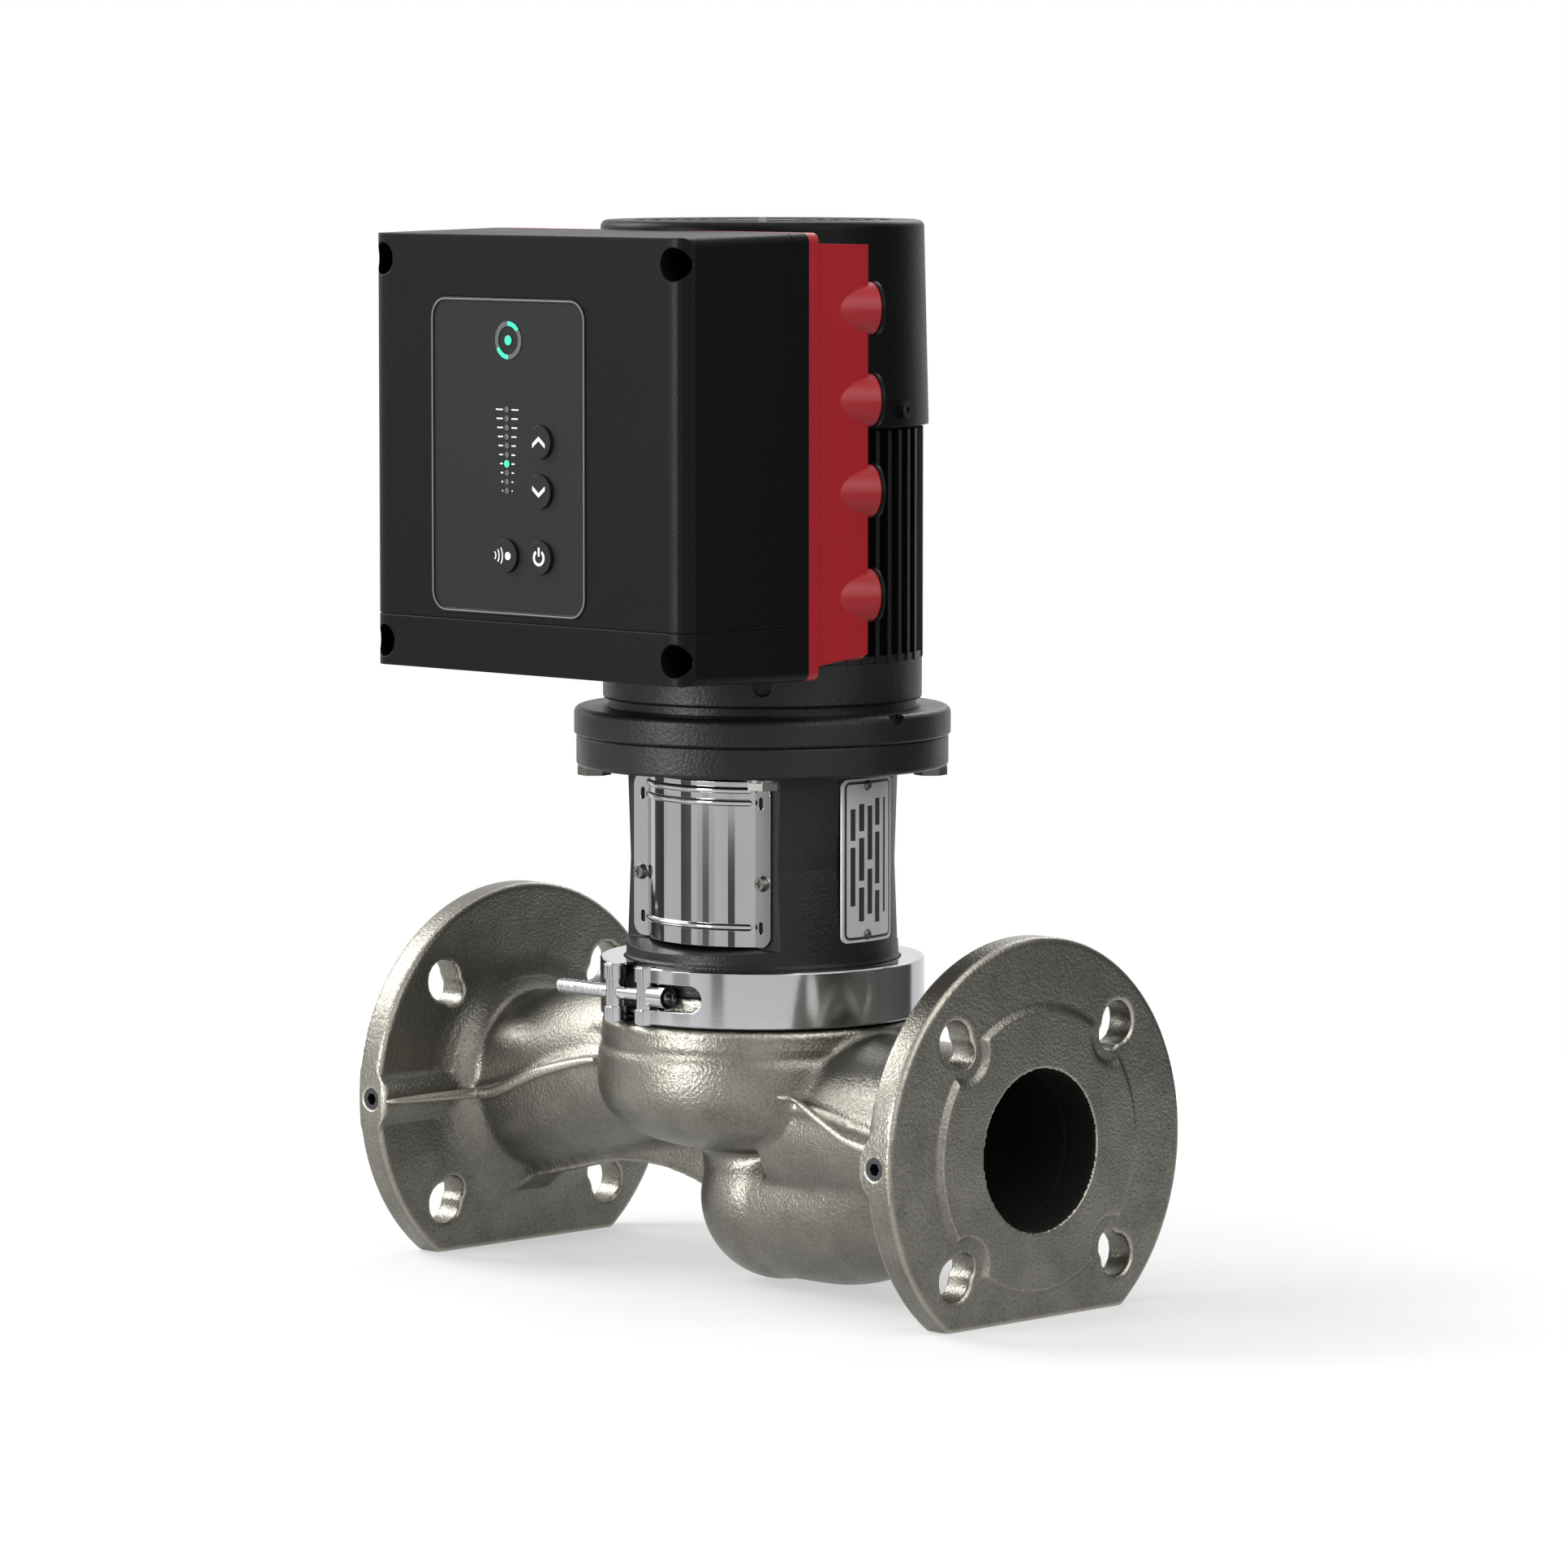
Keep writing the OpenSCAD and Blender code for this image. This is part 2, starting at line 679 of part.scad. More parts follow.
module pump_head() on_shaft() color(iron) difference() {
    rotate_extrude() head_section();
    for (a = [0, 180]) rotate([0, 0, a]) {
        window_cut();
        for (x = [-1, 1]) translate([x * guard_screw_x, 0, guard_screw_z])
            rod_y(guard_screw_r + fit_gap, -guard_face_y - over, -guard_face_y + 9);
    }
    for (a = [45:90:315]) rotate([0, 0, a]) translate([motor_bolt_r, 0, 0])
        disc(motor_bolt_shank_r + screw_gap, head_disc_z - over, motor_joint_z + over);
    translate([0, 34, 0]) disc(4 + fit_gap, lantern_floor_z - 9, lantern_floor_z + over);
    for (z = rivet_zs) at_azimuth(plate_az - 2) translate([0, 0, z])
        rod_y(1.5 + fit_gap, -lantern_r - 3, -lantern_r + 3);
}

module clamp_screw_axis() {
    translate([0, -barrel_y, joint_z]) children();
}

// Flat strap with a lip above and below, open between the two barrels
module clamp_band() on_shaft() color(bright_steel) difference() {
    union() {
        difference() {
            rotate_extrude() polygon([[neck_r + 0.6, band_z], [band_r - 0.6, band_z],
                [band_r, band_z + 0.6], [band_r, band_z + band_h - 0.6],
                [band_r - 0.6, band_z + band_h], [neck_r + 0.6, band_z + band_h],
                [neck_r + 0.6, band_z + band_h - band_t], [band_r - band_t, band_z + band_h - band_t],
                [band_r - band_t, band_z + band_t], [neck_r + 0.6, band_z + band_t]]);
            translate([barrel_a_x, -2 * band_r, band_z - over])
                cube([barrel_b_x - barrel_a_x, 2 * band_r, band_h + 2 * over]);
        }
        for (x = [barrel_a_x, barrel_b_x]) translate([x, -barrel_y, 0])
            disc(loop_r, band_z, band_z + band_h);
    }
    for (x = [barrel_a_x, barrel_b_x]) translate([x, -barrel_y, 0])
        disc(barrel_r + fit_gap, band_z - over, band_z + band_h + over);
    clamp_screw_axis() translate([barrel_a_x - 12, -10, -6.2])
        cube([barrel_b_x - barrel_a_x + 21, 20, 12.4]);
    disc(rim_r + seat_gap, rim_bottom_z, rim_top_z);
    at_azimuth(13) translate([0, 0, joint_z]) front_plate(rim_r + 2, band_r + 5) {
        for (x = [-7, 7]) translate([x, 0]) circle(6);
        square([14, 12], center = true);
    }
}

module clamp_barrels() on_shaft() color(bright_steel) for (x = [barrel_a_x, barrel_b_x])
    translate([x, -barrel_y, 0]) difference() {
        disc(barrel_r, band_z - 0.5, band_z + band_h + 0.5);
        translate([0, 0, joint_z]) rod_x(clamp_screw_r + fit_gap, -2 * barrel_r, 2 * barrel_r);
    }

module clamp_screw() on_shaft() color(bright_steel) clamp_screw_axis()
    translate([barrel_b_x + barrel_r + 0.3, 0, 0]) rotate([0, 90, 0])
        socket_screw(clamp_screw_r, barrel_b_x + barrel_r - clamp_screw_end_x, clamp_head_r,
            clamp_head_l, 5);

module vent_screw() on_shaft() color("#b08d4a") translate([0, 34, 0]) {
    disc(4, lantern_floor_z - 8, lantern_floor_z + over);
    translate([0, 0, lantern_floor_z + seat_gap]) hex_head(12, 7);
    disc(3, lantern_floor_z + 6, lantern_floor_z + 13);
}

module seal_seat() on_shaft() color("#55565a")
    ring(seat_r, pump_shaft_r + 1.5, seat_z0 - 2, seat_z1);

module seal_ring() on_shaft() color("#3a3b3e") {
    ring(seat_r, pump_shaft_r + fit_gap, seal_ring_z, seat_z0 - 2 - seal_gap);
    ring(seat_r + 2, seat_r - 1, seal_ring_z, seal_ring_z + 3);
}

// Coil spring with flat ends, swept along its helix
module seal_spring() on_shaft() color(steel) {
    turns = 4;
    per_turn = 20;
    sides = 8;
    wire_r = 0.9;
    coil_r = seat_r - 3;
    z0 = impeller_z1 + 4 + wire_r + seat_gap;
    rise = seal_ring_z - wire_r - seat_gap - z0;
    n = turns * per_turn;
    points = [for (i = [0:n], j = [0:sides - 1])
        let (a = 360 * i / per_turn, b = 360 * j / sides, r = coil_r + wire_r * cos(b))
            [r * cos(a), r * sin(a), z0 + rise * i / n + wire_r * sin(b)]];
    walls = [for (i = [0:n - 1], j = [0:sides - 1]) let (k = (j + 1) % sides)
        [i * sides + j, i * sides + k, (i + 1) * sides + k, (i + 1) * sides + j]];
    polyhedron(points, concat(walls, [[for (j = [sides - 1:-1:0]) j],
        [for (j = [0:sides - 1]) n * sides + j]]));
}

module pump_shaft() on_shaft() color(bright_steel) {
    disc(6, impeller_z0 - 6, impeller_z0 + 6 + over);
    disc(pump_shaft_r, impeller_z0 + 6, shaft_joint_z - 0.5);
}

// One half shell of the coupling, on the -Y side
module coupling_half() {
    difference() {
        ring(coupling_r, pump_shaft_r + fit_gap, coupling_z0, coupling_z1);
        disc(drive_shaft_r + fit_gap, shaft_joint_z, coupling_z1 + over);
        translate([-2 * coupling_r, -0.5, coupling_z0 - over])
            cube([4 * coupling_r, 2 * coupling_r, coupling_z1 - coupling_z0 + 2 * over]);
        for (x = [-1, 1], z = coupling_screw_zs) translate([x * coupling_screw_x, 0, z]) {
            rod_y(coupling_screw_r + fit_gap, -2 * coupling_r, over);
            rod_y(2 * coupling_screw_r, -2 * coupling_r, -coupling_seat_y);
        }
    }
}

module front_coupling_half() on_shaft() color(steel) coupling_half();

module rear_coupling_half() on_shaft() color(steel) rotate([0, 0, 180]) coupling_half();

module coupling_screws() on_shaft() color("#2b2b2e")
    for (x = [-1, 1], z = coupling_screw_zs)
        translate([x * coupling_screw_x, -coupling_seat_y - seat_gap, z]) rotate([90, 0, 0])
            socket_screw(coupling_screw_r, coupling_screw_l, 2 * coupling_screw_r - 0.3,
                coupling_screw_head_h, 4);

// Outline of the bent guard sheet seen from above
module guard_outline() {
    fold = asin((guard_face_y + guard_t) / guard_r);
    edge_x = guard_r * cos(fold);
    inner_r = guard_r - guard_t;
    inner_fold = asin(guard_face_y / inner_r);
    polygon(concat(
        [[-guard_half_w, -guard_face_y - seat_gap], [-guard_half_w, -guard_face_y - guard_t]],
        arc(0, 0, guard_r, 180 + fold, 360 - fold, 24),
        [[edge_x, -guard_face_y - guard_t], [guard_half_w, -guard_face_y - guard_t],
            [guard_half_w, -guard_face_y - seat_gap]],
        arc(0, 0, inner_r, 360 - inner_fold, 180 + inner_fold, 24)));
}

// Hat shaped sheet guard with pressed beads and slots, in front of a lantern window
module guard() {
    height = guard_z1 - guard_z0;
    difference() {
        intersection() {
            union() {
                translate([0, 0, guard_z0]) linear_extrude(height) guard_outline();
                intersection() {
                    for (z = guard_bead_zs) translate([0, 0, z]) rotate_extrude()
                        translate([guard_r - 0.4, 0]) circle(1.5, $fn = 24);
                    translate([-guard_r, -guard_r - 3, guard_z0])
                        cube([2 * guard_r, guard_r + 3 - guard_face_y - 3, height]);
                }
            }
            translate([0, 0, (guard_z0 + guard_z1) / 2]) front_plate(0, guard_r + 6)
                rounded_rect(2 * guard_half_w, height, 6);
        }
        disc(guard_r - guard_t, guard_z0 - over, guard_z1 + over);
        for (x = [-1, 1]) {
            translate([x * guard_screw_x, 0, guard_screw_z])
                rod_y(guard_screw_r + screw_gap, -guard_r, 0);
            for (z = [guard_bead_zs[0], guard_bead_zs[1]]) translate([x * (guard_screw_x - 1), 0, z])
                front_plate(guard_face_y - 2, guard_face_y + 4) {
                    for (s = [-1, 1]) translate([0, s * 1.5]) circle(1.3);
                    square([2.6, 3], center = true);
                }
        }
    }
}

module front_guard() on_shaft() color(bright_steel) guard();

module rear_guard() on_shaft() color(bright_steel) rotate([0, 0, 180]) guard();

module guard_screws() on_shaft() color(steel) for (a = [0, 180], x = [-1, 1]) rotate([0, 0, a])
    translate([x * guard_screw_x, -guard_face_y - guard_t - seat_gap, guard_screw_z])
        rotate([90, 0, 0]) difference() {
            union() {
                translate([0, 0, -8]) cylinder(r = guard_screw_r, h = 9);
                cylinder(r1 = 3.6, r2 = 2.8, h = 2.2);
            }
            for (c = [0, 90]) rotate([0, 0, c]) translate([-1.8, -0.4, 1.2]) cube([3.6, 0.8, 2]);
        }

module nameplate() on_shaft() color(bright_steel) at_azimuth(plate_az) difference() {
    intersection() {
        ring(lantern_r + 0.6 + seat_gap + plate_t, lantern_r + 0.6 + seat_gap, plate_z0, plate_z1);
        translate([0, 0, (plate_z0 + plate_z1) / 2]) front_plate(lantern_r / 2, lantern_r + 5)
            rounded_rect(plate_w, plate_z1 - plate_z0, 3);
    }
    for (z = rivet_zs) rotate([0, 0, -2]) translate([0, 0, z]) rod_y(1.5 + fit_gap, -2 * lantern_r, 0);
}

module nameplate_rivets() on_shaft() color(steel) for (z = rivet_zs) at_azimuth(plate_az - 2)
    translate([0, 0, z]) {
        rod_y(1.5, -lantern_r - 2, -lantern_r + 2.5);
        translate([0, -lantern_r - 0.6 - plate_t - 2 * seat_gap, 0]) rotate([90, 0, 0])
            cylinder(r1 = 2.4, r2 = 1.4, h = 1);
    }

// Half section of the motor's mounting flange and lower end shield
module motor_flange_section() {
    top_z = motor_joint_z + motor_flange_t;
    bearing_z1 = lower_bearing_z + lower_bearing_h + seat_gap;
    polygon(concat(
        [[drive_shaft_r + 2, motor_joint_z - 4], [lantern_bore_r + 5 - fit_gap, motor_joint_z - 4],
            [lantern_bore_r + 5 - fit_gap, motor_joint_z + seat_gap],
            [motor_flange_r - 1, motor_joint_z + seat_gap], [motor_flange_r, motor_joint_z + 1]],
        arc(motor_flange_r - 3, top_z - 3, 3, 0, 90, 5),
        [[motor_r - 3, top_z], [motor_r - 3, shield_z0], [motor_r - 1, shield_z0],
            [motor_r - 0.4, shield_z0 + 1], [motor_r - 0.4, body_z0 - seat_gap],
            [motor_core_r - 3, body_z0 - seat_gap], [motor_core_r - 3, top_z + 4],
            [lower_bearing_r + 6, top_z + 4], [lower_bearing_r + 6, bearing_z1 + 3],
            [lower_bearing_r + fit_gap, bearing_z1 + 3], [lower_bearing_r + fit_gap, lower_bearing_z],
            [drive_shaft_r + 2, lower_bearing_z]]));
}

module motor_flange() on_shaft() color(iron) difference() {
    rotate_extrude() motor_flange_section();
    for (a = [45:90:315]) rotate([0, 0, a]) translate([motor_bolt_r, 0, 0])
        disc(motor_bolt_shank_r + fit_gap, motor_joint_z - over, motor_joint_z + motor_flange_t - 2);
    // Drain notch at the side and the pocket of the clamping pin
    at_azimuth(90) translate([0, 0, motor_joint_z + motor_flange_t])
        rod_y(4.5, -motor_flange_r - over, -motor_flange_r + 6);
    for (a = [45, 225]) at_azimuth(a) translate([0, 0, body_z0 - 9]) front_plate(motor_r - 4, motor_r + 2) {
        circle(4.2);
        translate([-4.2, 0]) square([8.4, 12]);
    }
}

module flange_bolts() on_shaft() color("#c8c4b8") for (a = [45:90:315]) rotate([0, 0, a])
    translate([motor_bolt_r, 0, 0]) {
        disc(motor_bolt_shank_r, head_disc_z - 2, motor_joint_z + motor_flange_t - 4);
        disc(7.2, head_disc_z - 1.4 - seat_gap, head_disc_z - seat_gap);
        translate([0, 0, head_disc_z - 4.9]) hex_head(13, 4.2);
    }

// Cross section of the finned body: parallel fins on four sides, solid corners at 45 degrees
module body_outline() {
    fin_count = floor((2 * motor_core_r * sin(37)) / fin_pitch);
    circle(motor_core_r);
    intersection() {
        circle(motor_r);
        union() {
            for (a = [0:90:270], i = [0:fin_count - 1]) rotate(a)
                translate([0, (i - (fin_count - 1) / 2) * fin_pitch - fin_t / 2])
                    square([motor_r + over, fin_t]);
            for (a = [45:90:315]) rotate(a) translate([0, -8]) square([motor_r + over, 16]);
        }
    }
}

module stator_housing() on_shaft() color(iron) difference() {
    union() {
        translate([0, 0, body_z0]) linear_extrude(body_z1 - body_z0) body_outline();
        ring(motor_r - 0.6, motor_core_r - 2, body_z0, body_z0 + 3);
    }
    disc(stator_r + fit_gap, body_z0 - over, body_z1 + over);
    for (z = mount_screw_zs, m = [-1, 1]) translate([m * mount_screw_x, 0, z])
        rod_y(mount_screw_r + fit_gap, -motor_r - over, -stator_r);
}

module stator_core() on_shaft() color("#6b6e72") translate([0, 0, core_z0])
    linear_extrude(core_z1 - core_z0) difference() {
        circle(stator_r);
        circle(rotor_r + air_gap);
        for (i = [0:slot_count - 1]) rotate(i * 360 / slot_count) {
            translate([rotor_r + air_gap + 3, -2.6]) square([11, 5.2]);
            translate([rotor_r, -1]) square([5, 2]);
        }
    }

module stator_windings() on_shaft() color("#b4642c") {
    for (z = [core_z0 - end_turn_h, core_z1 + seat_gap])
        ring(rotor_r + air_gap + 14, rotor_r + air_gap + 3, z, z + end_turn_h - seat_gap);
    for (i = [0:slot_count - 1]) rotate([0, 0, i * 360 / slot_count])
        translate([rotor_r + air_gap + 3.2, -2.4, core_z0 - 2]) cube([10.6, 4.8, core_z1 - core_z0 + 4]);
}

module rotor_core() on_shaft() color("#6b6e72")
    ring(rotor_r - magnet_t, motor_shaft_r + fit_gap, core_z0, core_z1);

module rotor_magnets() on_shaft() color("#45474b") difference() {
    ring(rotor_r, rotor_r - magnet_t + fit_gap, core_z0, core_z1);
    for (i = [0:pole_count - 1]) rotate([0, 0, i * 360 / pole_count])
        translate([0, -0.6, core_z0 - over]) cube([2 * rotor_r, 1.2, core_z1 - core_z0 + 2 * over]);
}

module motor_shaft() on_shaft() color(bright_steel) {
    disc(drive_shaft_r, shaft_joint_z + 0.5, core_z0 - 14);
    disc(motor_shaft_r, lower_bearing_z + lower_bearing_h + seat_gap, upper_bearing_z - seat_gap);
    disc(upper_shaft_r, upper_bearing_z - over, shaft_top_z);
}

module bearing_outer(r, z, h) {
    difference() {
        ring(r, r - 4, z, z + h);
        translate([0, 0, z + h / 2]) rotate_extrude() translate([r - 5.8, 0]) circle(2.9, $fn = 32);
    }
}

module bearing_inner(r, bore, z, h) {
    difference() {
        ring(bore + 3.5, bore + fit_gap, z, z + h);
        translate([0, 0, z + h / 2]) rotate_extrude() translate([r - 5.8, 0]) circle(2.9, $fn = 32);
    }
    for (i = [0:7]) rotate([0, 0, 45 * i]) translate([r - 5.8, 0, z + h / 2])
        sphere(r = 2.8, $fn = 32);
    ring(r - 5.2, bore + 2, z + h / 2 - 0.8, z + h / 2 + 0.8);
}

module lower_bearing_outer() on_shaft() color(steel)
    bearing_outer(lower_bearing_r, lower_bearing_z + seat_gap, lower_bearing_h - seat_gap);

module lower_bearing_inner() on_shaft() color(steel)
    bearing_inner(lower_bearing_r, drive_shaft_r, lower_bearing_z + seat_gap,
        lower_bearing_h - seat_gap);

module upper_bearing_outer() on_shaft() color(steel)
    bearing_outer(upper_bearing_r, upper_bearing_z, upper_bearing_h);

module upper_bearing_inner() on_shaft() color(steel)
    bearing_inner(upper_bearing_r, upper_shaft_r, upper_bearing_z, upper_bearing_h);

module rear_end_shield() on_shaft() color(iron) difference() {
    union() {
        disc(motor_core_r, body_z1 + seat_gap, rear_shield_z1 - 4);
        disc(stator_r - fit_gap, body_z1 - 5, body_z1 + over);
        disc(upper_bearing_r + 8, body_z1, rear_shield_z1);
        for (a = lug_turns) at_azimuth(lug_az + a) translate([0, 0, lug_z])
            rod_y(lug_r, -cover_bottom_r + cover_t + 0.6, -motor_core_r + 3);
    }
    disc(motor_core_r - 8, body_z1 - 5 - over, body_z1 + 6);
    disc(upper_bearing_r + fit_gap, body_z1 + 2, upper_bearing_z + upper_bearing_h + seat_gap);
    disc(upper_shaft_r + 2, body_z1 + 2, rear_shield_z1 + over);
    for (a = lug_turns) at_azimuth(lug_az + a) translate([0, 0, lug_z])
        rod_y(2 + fit_gap, -cover_bottom_r - over, -motor_core_r + 2);
}

module cooling_fan() on_shaft() color(black_plastic) difference() {
    union() {
        disc(upper_shaft_r + 7, fan_z0, fan_z1);
        disc(fan_r - 4, fan_z0, fan_z0 + 2.5);
        for (i = [0:blade_count - 1]) rotate([0, 0, i * 360 / blade_count])
            translate([upper_shaft_r + 4, -1.1, fan_z0]) cube([fan_r - upper_shaft_r - 4, 2.2, 22]);
    }
    disc(upper_shaft_r + fit_gap, fan_z0 - over, shaft_top_z + seat_gap);
}

module fan_cover_section() {
    r1 = 3;
    z1 = cover_top_z;
    slope = (cover_bottom_r - cover_top_r) / (z1 - cover_z0);
    polygon(concat(
        [[0, z1 - cover_t], [cover_top_r - r1, z1 - cover_t]],
        arc(cover_top_r - r1, z1 - r1, r1 - cover_t, 90, 0, 3),
        [[cover_bottom_r - cover_t, cover_z0], [cover_bottom_r, cover_z0]],
        arc(cover_top_r - r1 + slope * r1, z1 - r1, r1, 0, 90, 5),
        [[0, z1]]));
}

// Air inlet grille: rings of arc slots with eight spokes left between them
module grille_cut() {
    translate([0, 0, cover_top_z - cover_t - over]) linear_extrude(cover_t + 2 * over) difference() {
        for (i = [0:5]) difference() {
            circle(22 + 7 * i);
            circle(17.6 + 7 * i);
        }
        for (a = [0:45:135]) rotate(a) square([2 * cover_top_r, 3.4], center = true);
    }
}

module fan_cover() on_shaft() color(black_plastic) difference() {
    rotate_extrude() fan_cover_section();
    grille_cut();
    for (a = lug_turns) at_azimuth(lug_az + a) translate([0, 0, lug_z])
        rod_y(2 + screw_gap, -cover_bottom_r - over, -cover_bottom_r + 6);
}

module fan_cover_screws() on_shaft() color("#2b2b2e") for (a = lug_turns) at_azimuth(lug_az + a)
    translate([0, -cover_bottom_r - seat_gap, lug_z]) rotate([90, 0, 0])
        socket_screw(2, 9, cover_screw_head_r, cover_screw_head_h, 2.5);

// Solid of the box cover between two distances from the shaft, drawn in by an inset
module box_loft(y0, y1, inset) {
    depth = box_front_y - box_joint_y;
    w = 2 * (box_half_w - inset);
    h = box_z1 - box_z0 - 2 * inset;
    mid_z = (box_z0 + box_z1) / 2;
    front_scale = 1 - box_draft / box_half_w;
    r = cover_corner_r - inset;
    translate([0, 0, mid_z]) rotate([90, 0, 0]) intersection() {
        translate([0, 0, y0]) linear_extrude(y1 - y0) square([w + over, h + over], center = true);
        translate([0, 0, box_joint_y]) linear_extrude(depth - inset, scale = front_scale)
            rounded_rect(w, h, 4);
        rotate([90, 0, 0]) linear_extrude(h + 2 * over, center = true) polygon(concat(
            [[-w / 2 - over, 0], [-w / 2 - over, y1 - r]],
            arc(-w / 2 + r, y1 - r, r, 180, 90, 8), arc(w / 2 - r, y1 - r, r, 90, 0, 8),
            [[w / 2 + over, y1 - r], [w / 2 + over, 0]]));
    }
}

module box_screw_places() {
    for (x = [-1, 1], z = box_screw_zs) translate([x * box_screw_x, 0, z]) children();
}

module panel_outline(margin) {
    translate([panel_x, panel_z]) rounded_rect(panel_w + 2 * margin, panel_h + 2 * margin,
        panel_corner_r + margin);
}

module box_cover() on_shaft() color(black_plastic) difference() {
    union() {
        difference() {
            box_loft(box_joint_y, box_front_y, 0);
            box_loft(box_joint_y - over, box_front_y - box_wall, box_wall);
        }
        intersection() {
            box_screw_places() rod_y(screw_well_r + 1.6, -box_front_y, -box_joint_y);
            box_loft(box_joint_y, box_front_y, 0);
        }
    }
    front_plate(box_front_y - 2 * box_wall, box_front_y + over) panel_outline(fit_gap + 0.1);
    box_screw_places() {
        rod_y(screw_well_r, -box_front_y - over, -box_joint_y - 12);
        rod_y(box_screw_r + screw_gap, -box_front_y, -box_joint_y + over);
    }
    // Shadow line between the shell and its lower and rear frame
    difference() {
        translate([-2 * box_half_w, 0, 0]) {
            translate([0, -box_front_y - over, box_z0 + seam_rise])
                cube([4 * box_half_w, box_front_y + over - box_joint_y - seam_rear, seam_w]);
            translate([0, -box_joint_y - seam_rear - seam_w, box_z0 + seam_rise])
                cube([4 * box_half_w, seam_w, box_z1 - box_z0]);
        }
        box_loft(box_joint_y - over, box_front_y - 0.5, 0.5);
    }
}

// Base of the box: flange, drafted body and the saddle that fits round the motor
module box_base() on_shaft() color(red_plastic) difference() {
    union() {
        difference() {
            union() {
                front_plate(box_joint_y - base_flange_t, box_joint_y - seat_gap)
                    translate([0, (box_z0 + box_z1) / 2])
                        rounded_rect(2 * box_half_w, box_z1 - box_z0, 4);
                translate([0, 0, box_z0]) rotate([90, 0, 90])
                    linear_extrude(2 * (box_half_w - base_inset), center = true)
                        polygon([[-box_joint_y + 2, 4.8], [-base_rear_y, 9.5],
                            [-base_rear_y, box_z1 - box_z0 - 5.5],
                            [-box_joint_y + 2, box_z1 - box_z0 - 4.5]]);
                base_bosses(entry_boss_r, 0);
            }
            translate([0, 0, (box_z0 + box_z1) / 2])
                front_plate(base_rear_y + 3, box_joint_y + over)
                    square([2 * (box_half_w - base_inset - 3), box_z1 - box_z0 - 26], center = true);
        }
        intersection() {
            ring(saddle_r + saddle_wall, saddle_r - over, box_z0 + 9.5, box_z1 - 5.5);
            translate([-box_half_w + base_inset + 1, -2 * saddle_r, box_z0])
                cube([2 * (box_half_w - base_inset - 1), 2 * saddle_r - base_rear_y, box_z1 - box_z0]);
        }
        at_azimuth(lug_az) translate([0, 0, lug_z])
            rod_y(cover_screw_head_r + 3, -cover_screw_end_r - 2.5, -saddle_r - 1);
        box_screw_places() rod_y(box_screw_r + 3, -box_joint_y + 2, -base_rear_y - 1);
        for (x = [-1, 1], z = board_post_zs) translate([x * board_post_x, 0, z])
            rod_y(4, -power_board_y + seat_gap, -base_rear_y - 1);
    }
    disc(saddle_r, box_z0 - over, box_z1 + over);
    // Pocket for the fan cover screw that stands behind the box
    at_azimuth(lug_az) translate([0, 0, lug_z])
        rod_y(cover_screw_head_r + 1, -cover_screw_end_r - 0.6, 0);
    base_bosses(entry_hole_r, over);
    box_screw_places() rod_y(box_screw_r + fit_gap, -box_joint_y - over, -base_rear_y - 12);
    for (z = mount_screw_zs, m = [-1, 1]) translate([m * mount_screw_x, 0, z])
        rod_y(mount_screw_r + screw_gap, -2 * saddle_r, 0);
}

// Cable entries in the side of the base, tilted out to the rear
module base_bosses(r, past) {
    for (z = entry_zs) translate([entry_x, -entry_y, z]) rotate([0, 0, -entry_tilt])
        rod_y(r, -entry_depth - entry_through * past, 2 + past);
}

module cable_plugs() on_shaft() color(black_plastic) for (z = entry_zs)
    translate([entry_x, -entry_y, z]) rotate([0, 0, -entry_tilt]) {
        rod_y(entry_hole_r - plug_gap, -6, 2.2);
        rod_y(entry_boss_r + 0.4, 2 + seat_gap, 4);
    }

// Outline inside the cover wall that runs round the four screw wells
module gasket_outline(inset) {
    difference() {
        translate([0, (box_z0 + box_z1) / 2]) rounded_rect(2 * (box_half_w - box_wall - inset),
            box_z1 - box_z0 - 2 * (box_wall + inset), 3);
        for (x = [-1, 1], z = box_screw_zs) translate([x * box_screw_x, z])
            circle(screw_well_r + 4 + inset);
    }
}

module box_gasket() on_shaft() color("#121214") front_plate(box_joint_y, box_joint_y + 1.4)
    difference() {
        gasket_outline(0.4);
        gasket_outline(2.4);
    }

module box_cover_screws() on_shaft() color(steel) box_screw_places()
    translate([0, -box_joint_y - 12 - seat_gap, 0]) rotate([90, 0, 0])
        socket_screw(box_screw_r, 22, box_screw_head_r, 3.5, 4);

module button_places() {
    for (p = [[button_right_x, up_z], [button_right_x, down_z], [button_left_x, low_row_z],
        [button_right_x, low_row_z]]) translate(p) children();
}

module level_dots(margin) {
    for (i = [0:level_count - 1]) translate([level_x, level_z0 + i * level_pitch])
        circle(level_dot_r + margin, $fn = 24);
}

module status_outline(margin) {
    difference() {
        circle(status_r + margin);
        circle(status_r - status_ring_w - margin);
    }
    circle(status_dot_r + margin);
}

module control_panel() on_shaft() color("#2a2c2f") difference() {
    union() {
        front_plate(panel_lip_y, panel_face_y) panel_outline(0);
        front_plate(panel_lip_y - panel_lip_t, panel_lip_y) panel_outline(panel_lip_w);
        for (x = [-1, 1], z = [-1, 1])
            translate([panel_x + x * (panel_w / 2 - 12), 0, panel_z + z * (panel_h / 2 - 12)])
                rod_y(panel_post_r, -panel_lip_y, -control_board_y - seat_gap);
    }
    front_plate(panel_face_y - 0.5, panel_face_y + over) panel_outline(-1.6);
    front_plate(0, panel_face_y + over) button_places() circle(button_r + 0.15);
    front_plate(panel_face_y - 0.5 - light_depth, panel_face_y) {
        level_dots(fit_gap);
        translate([status_x, status_z]) status_outline(fit_gap);
    }
}

module status_light() on_shaft() color("#4bd06a")
    front_plate(panel_face_y - 0.45 - light_depth, panel_face_y - 0.5 + light_proud)
        translate([status_x, status_z]) status_outline(0);

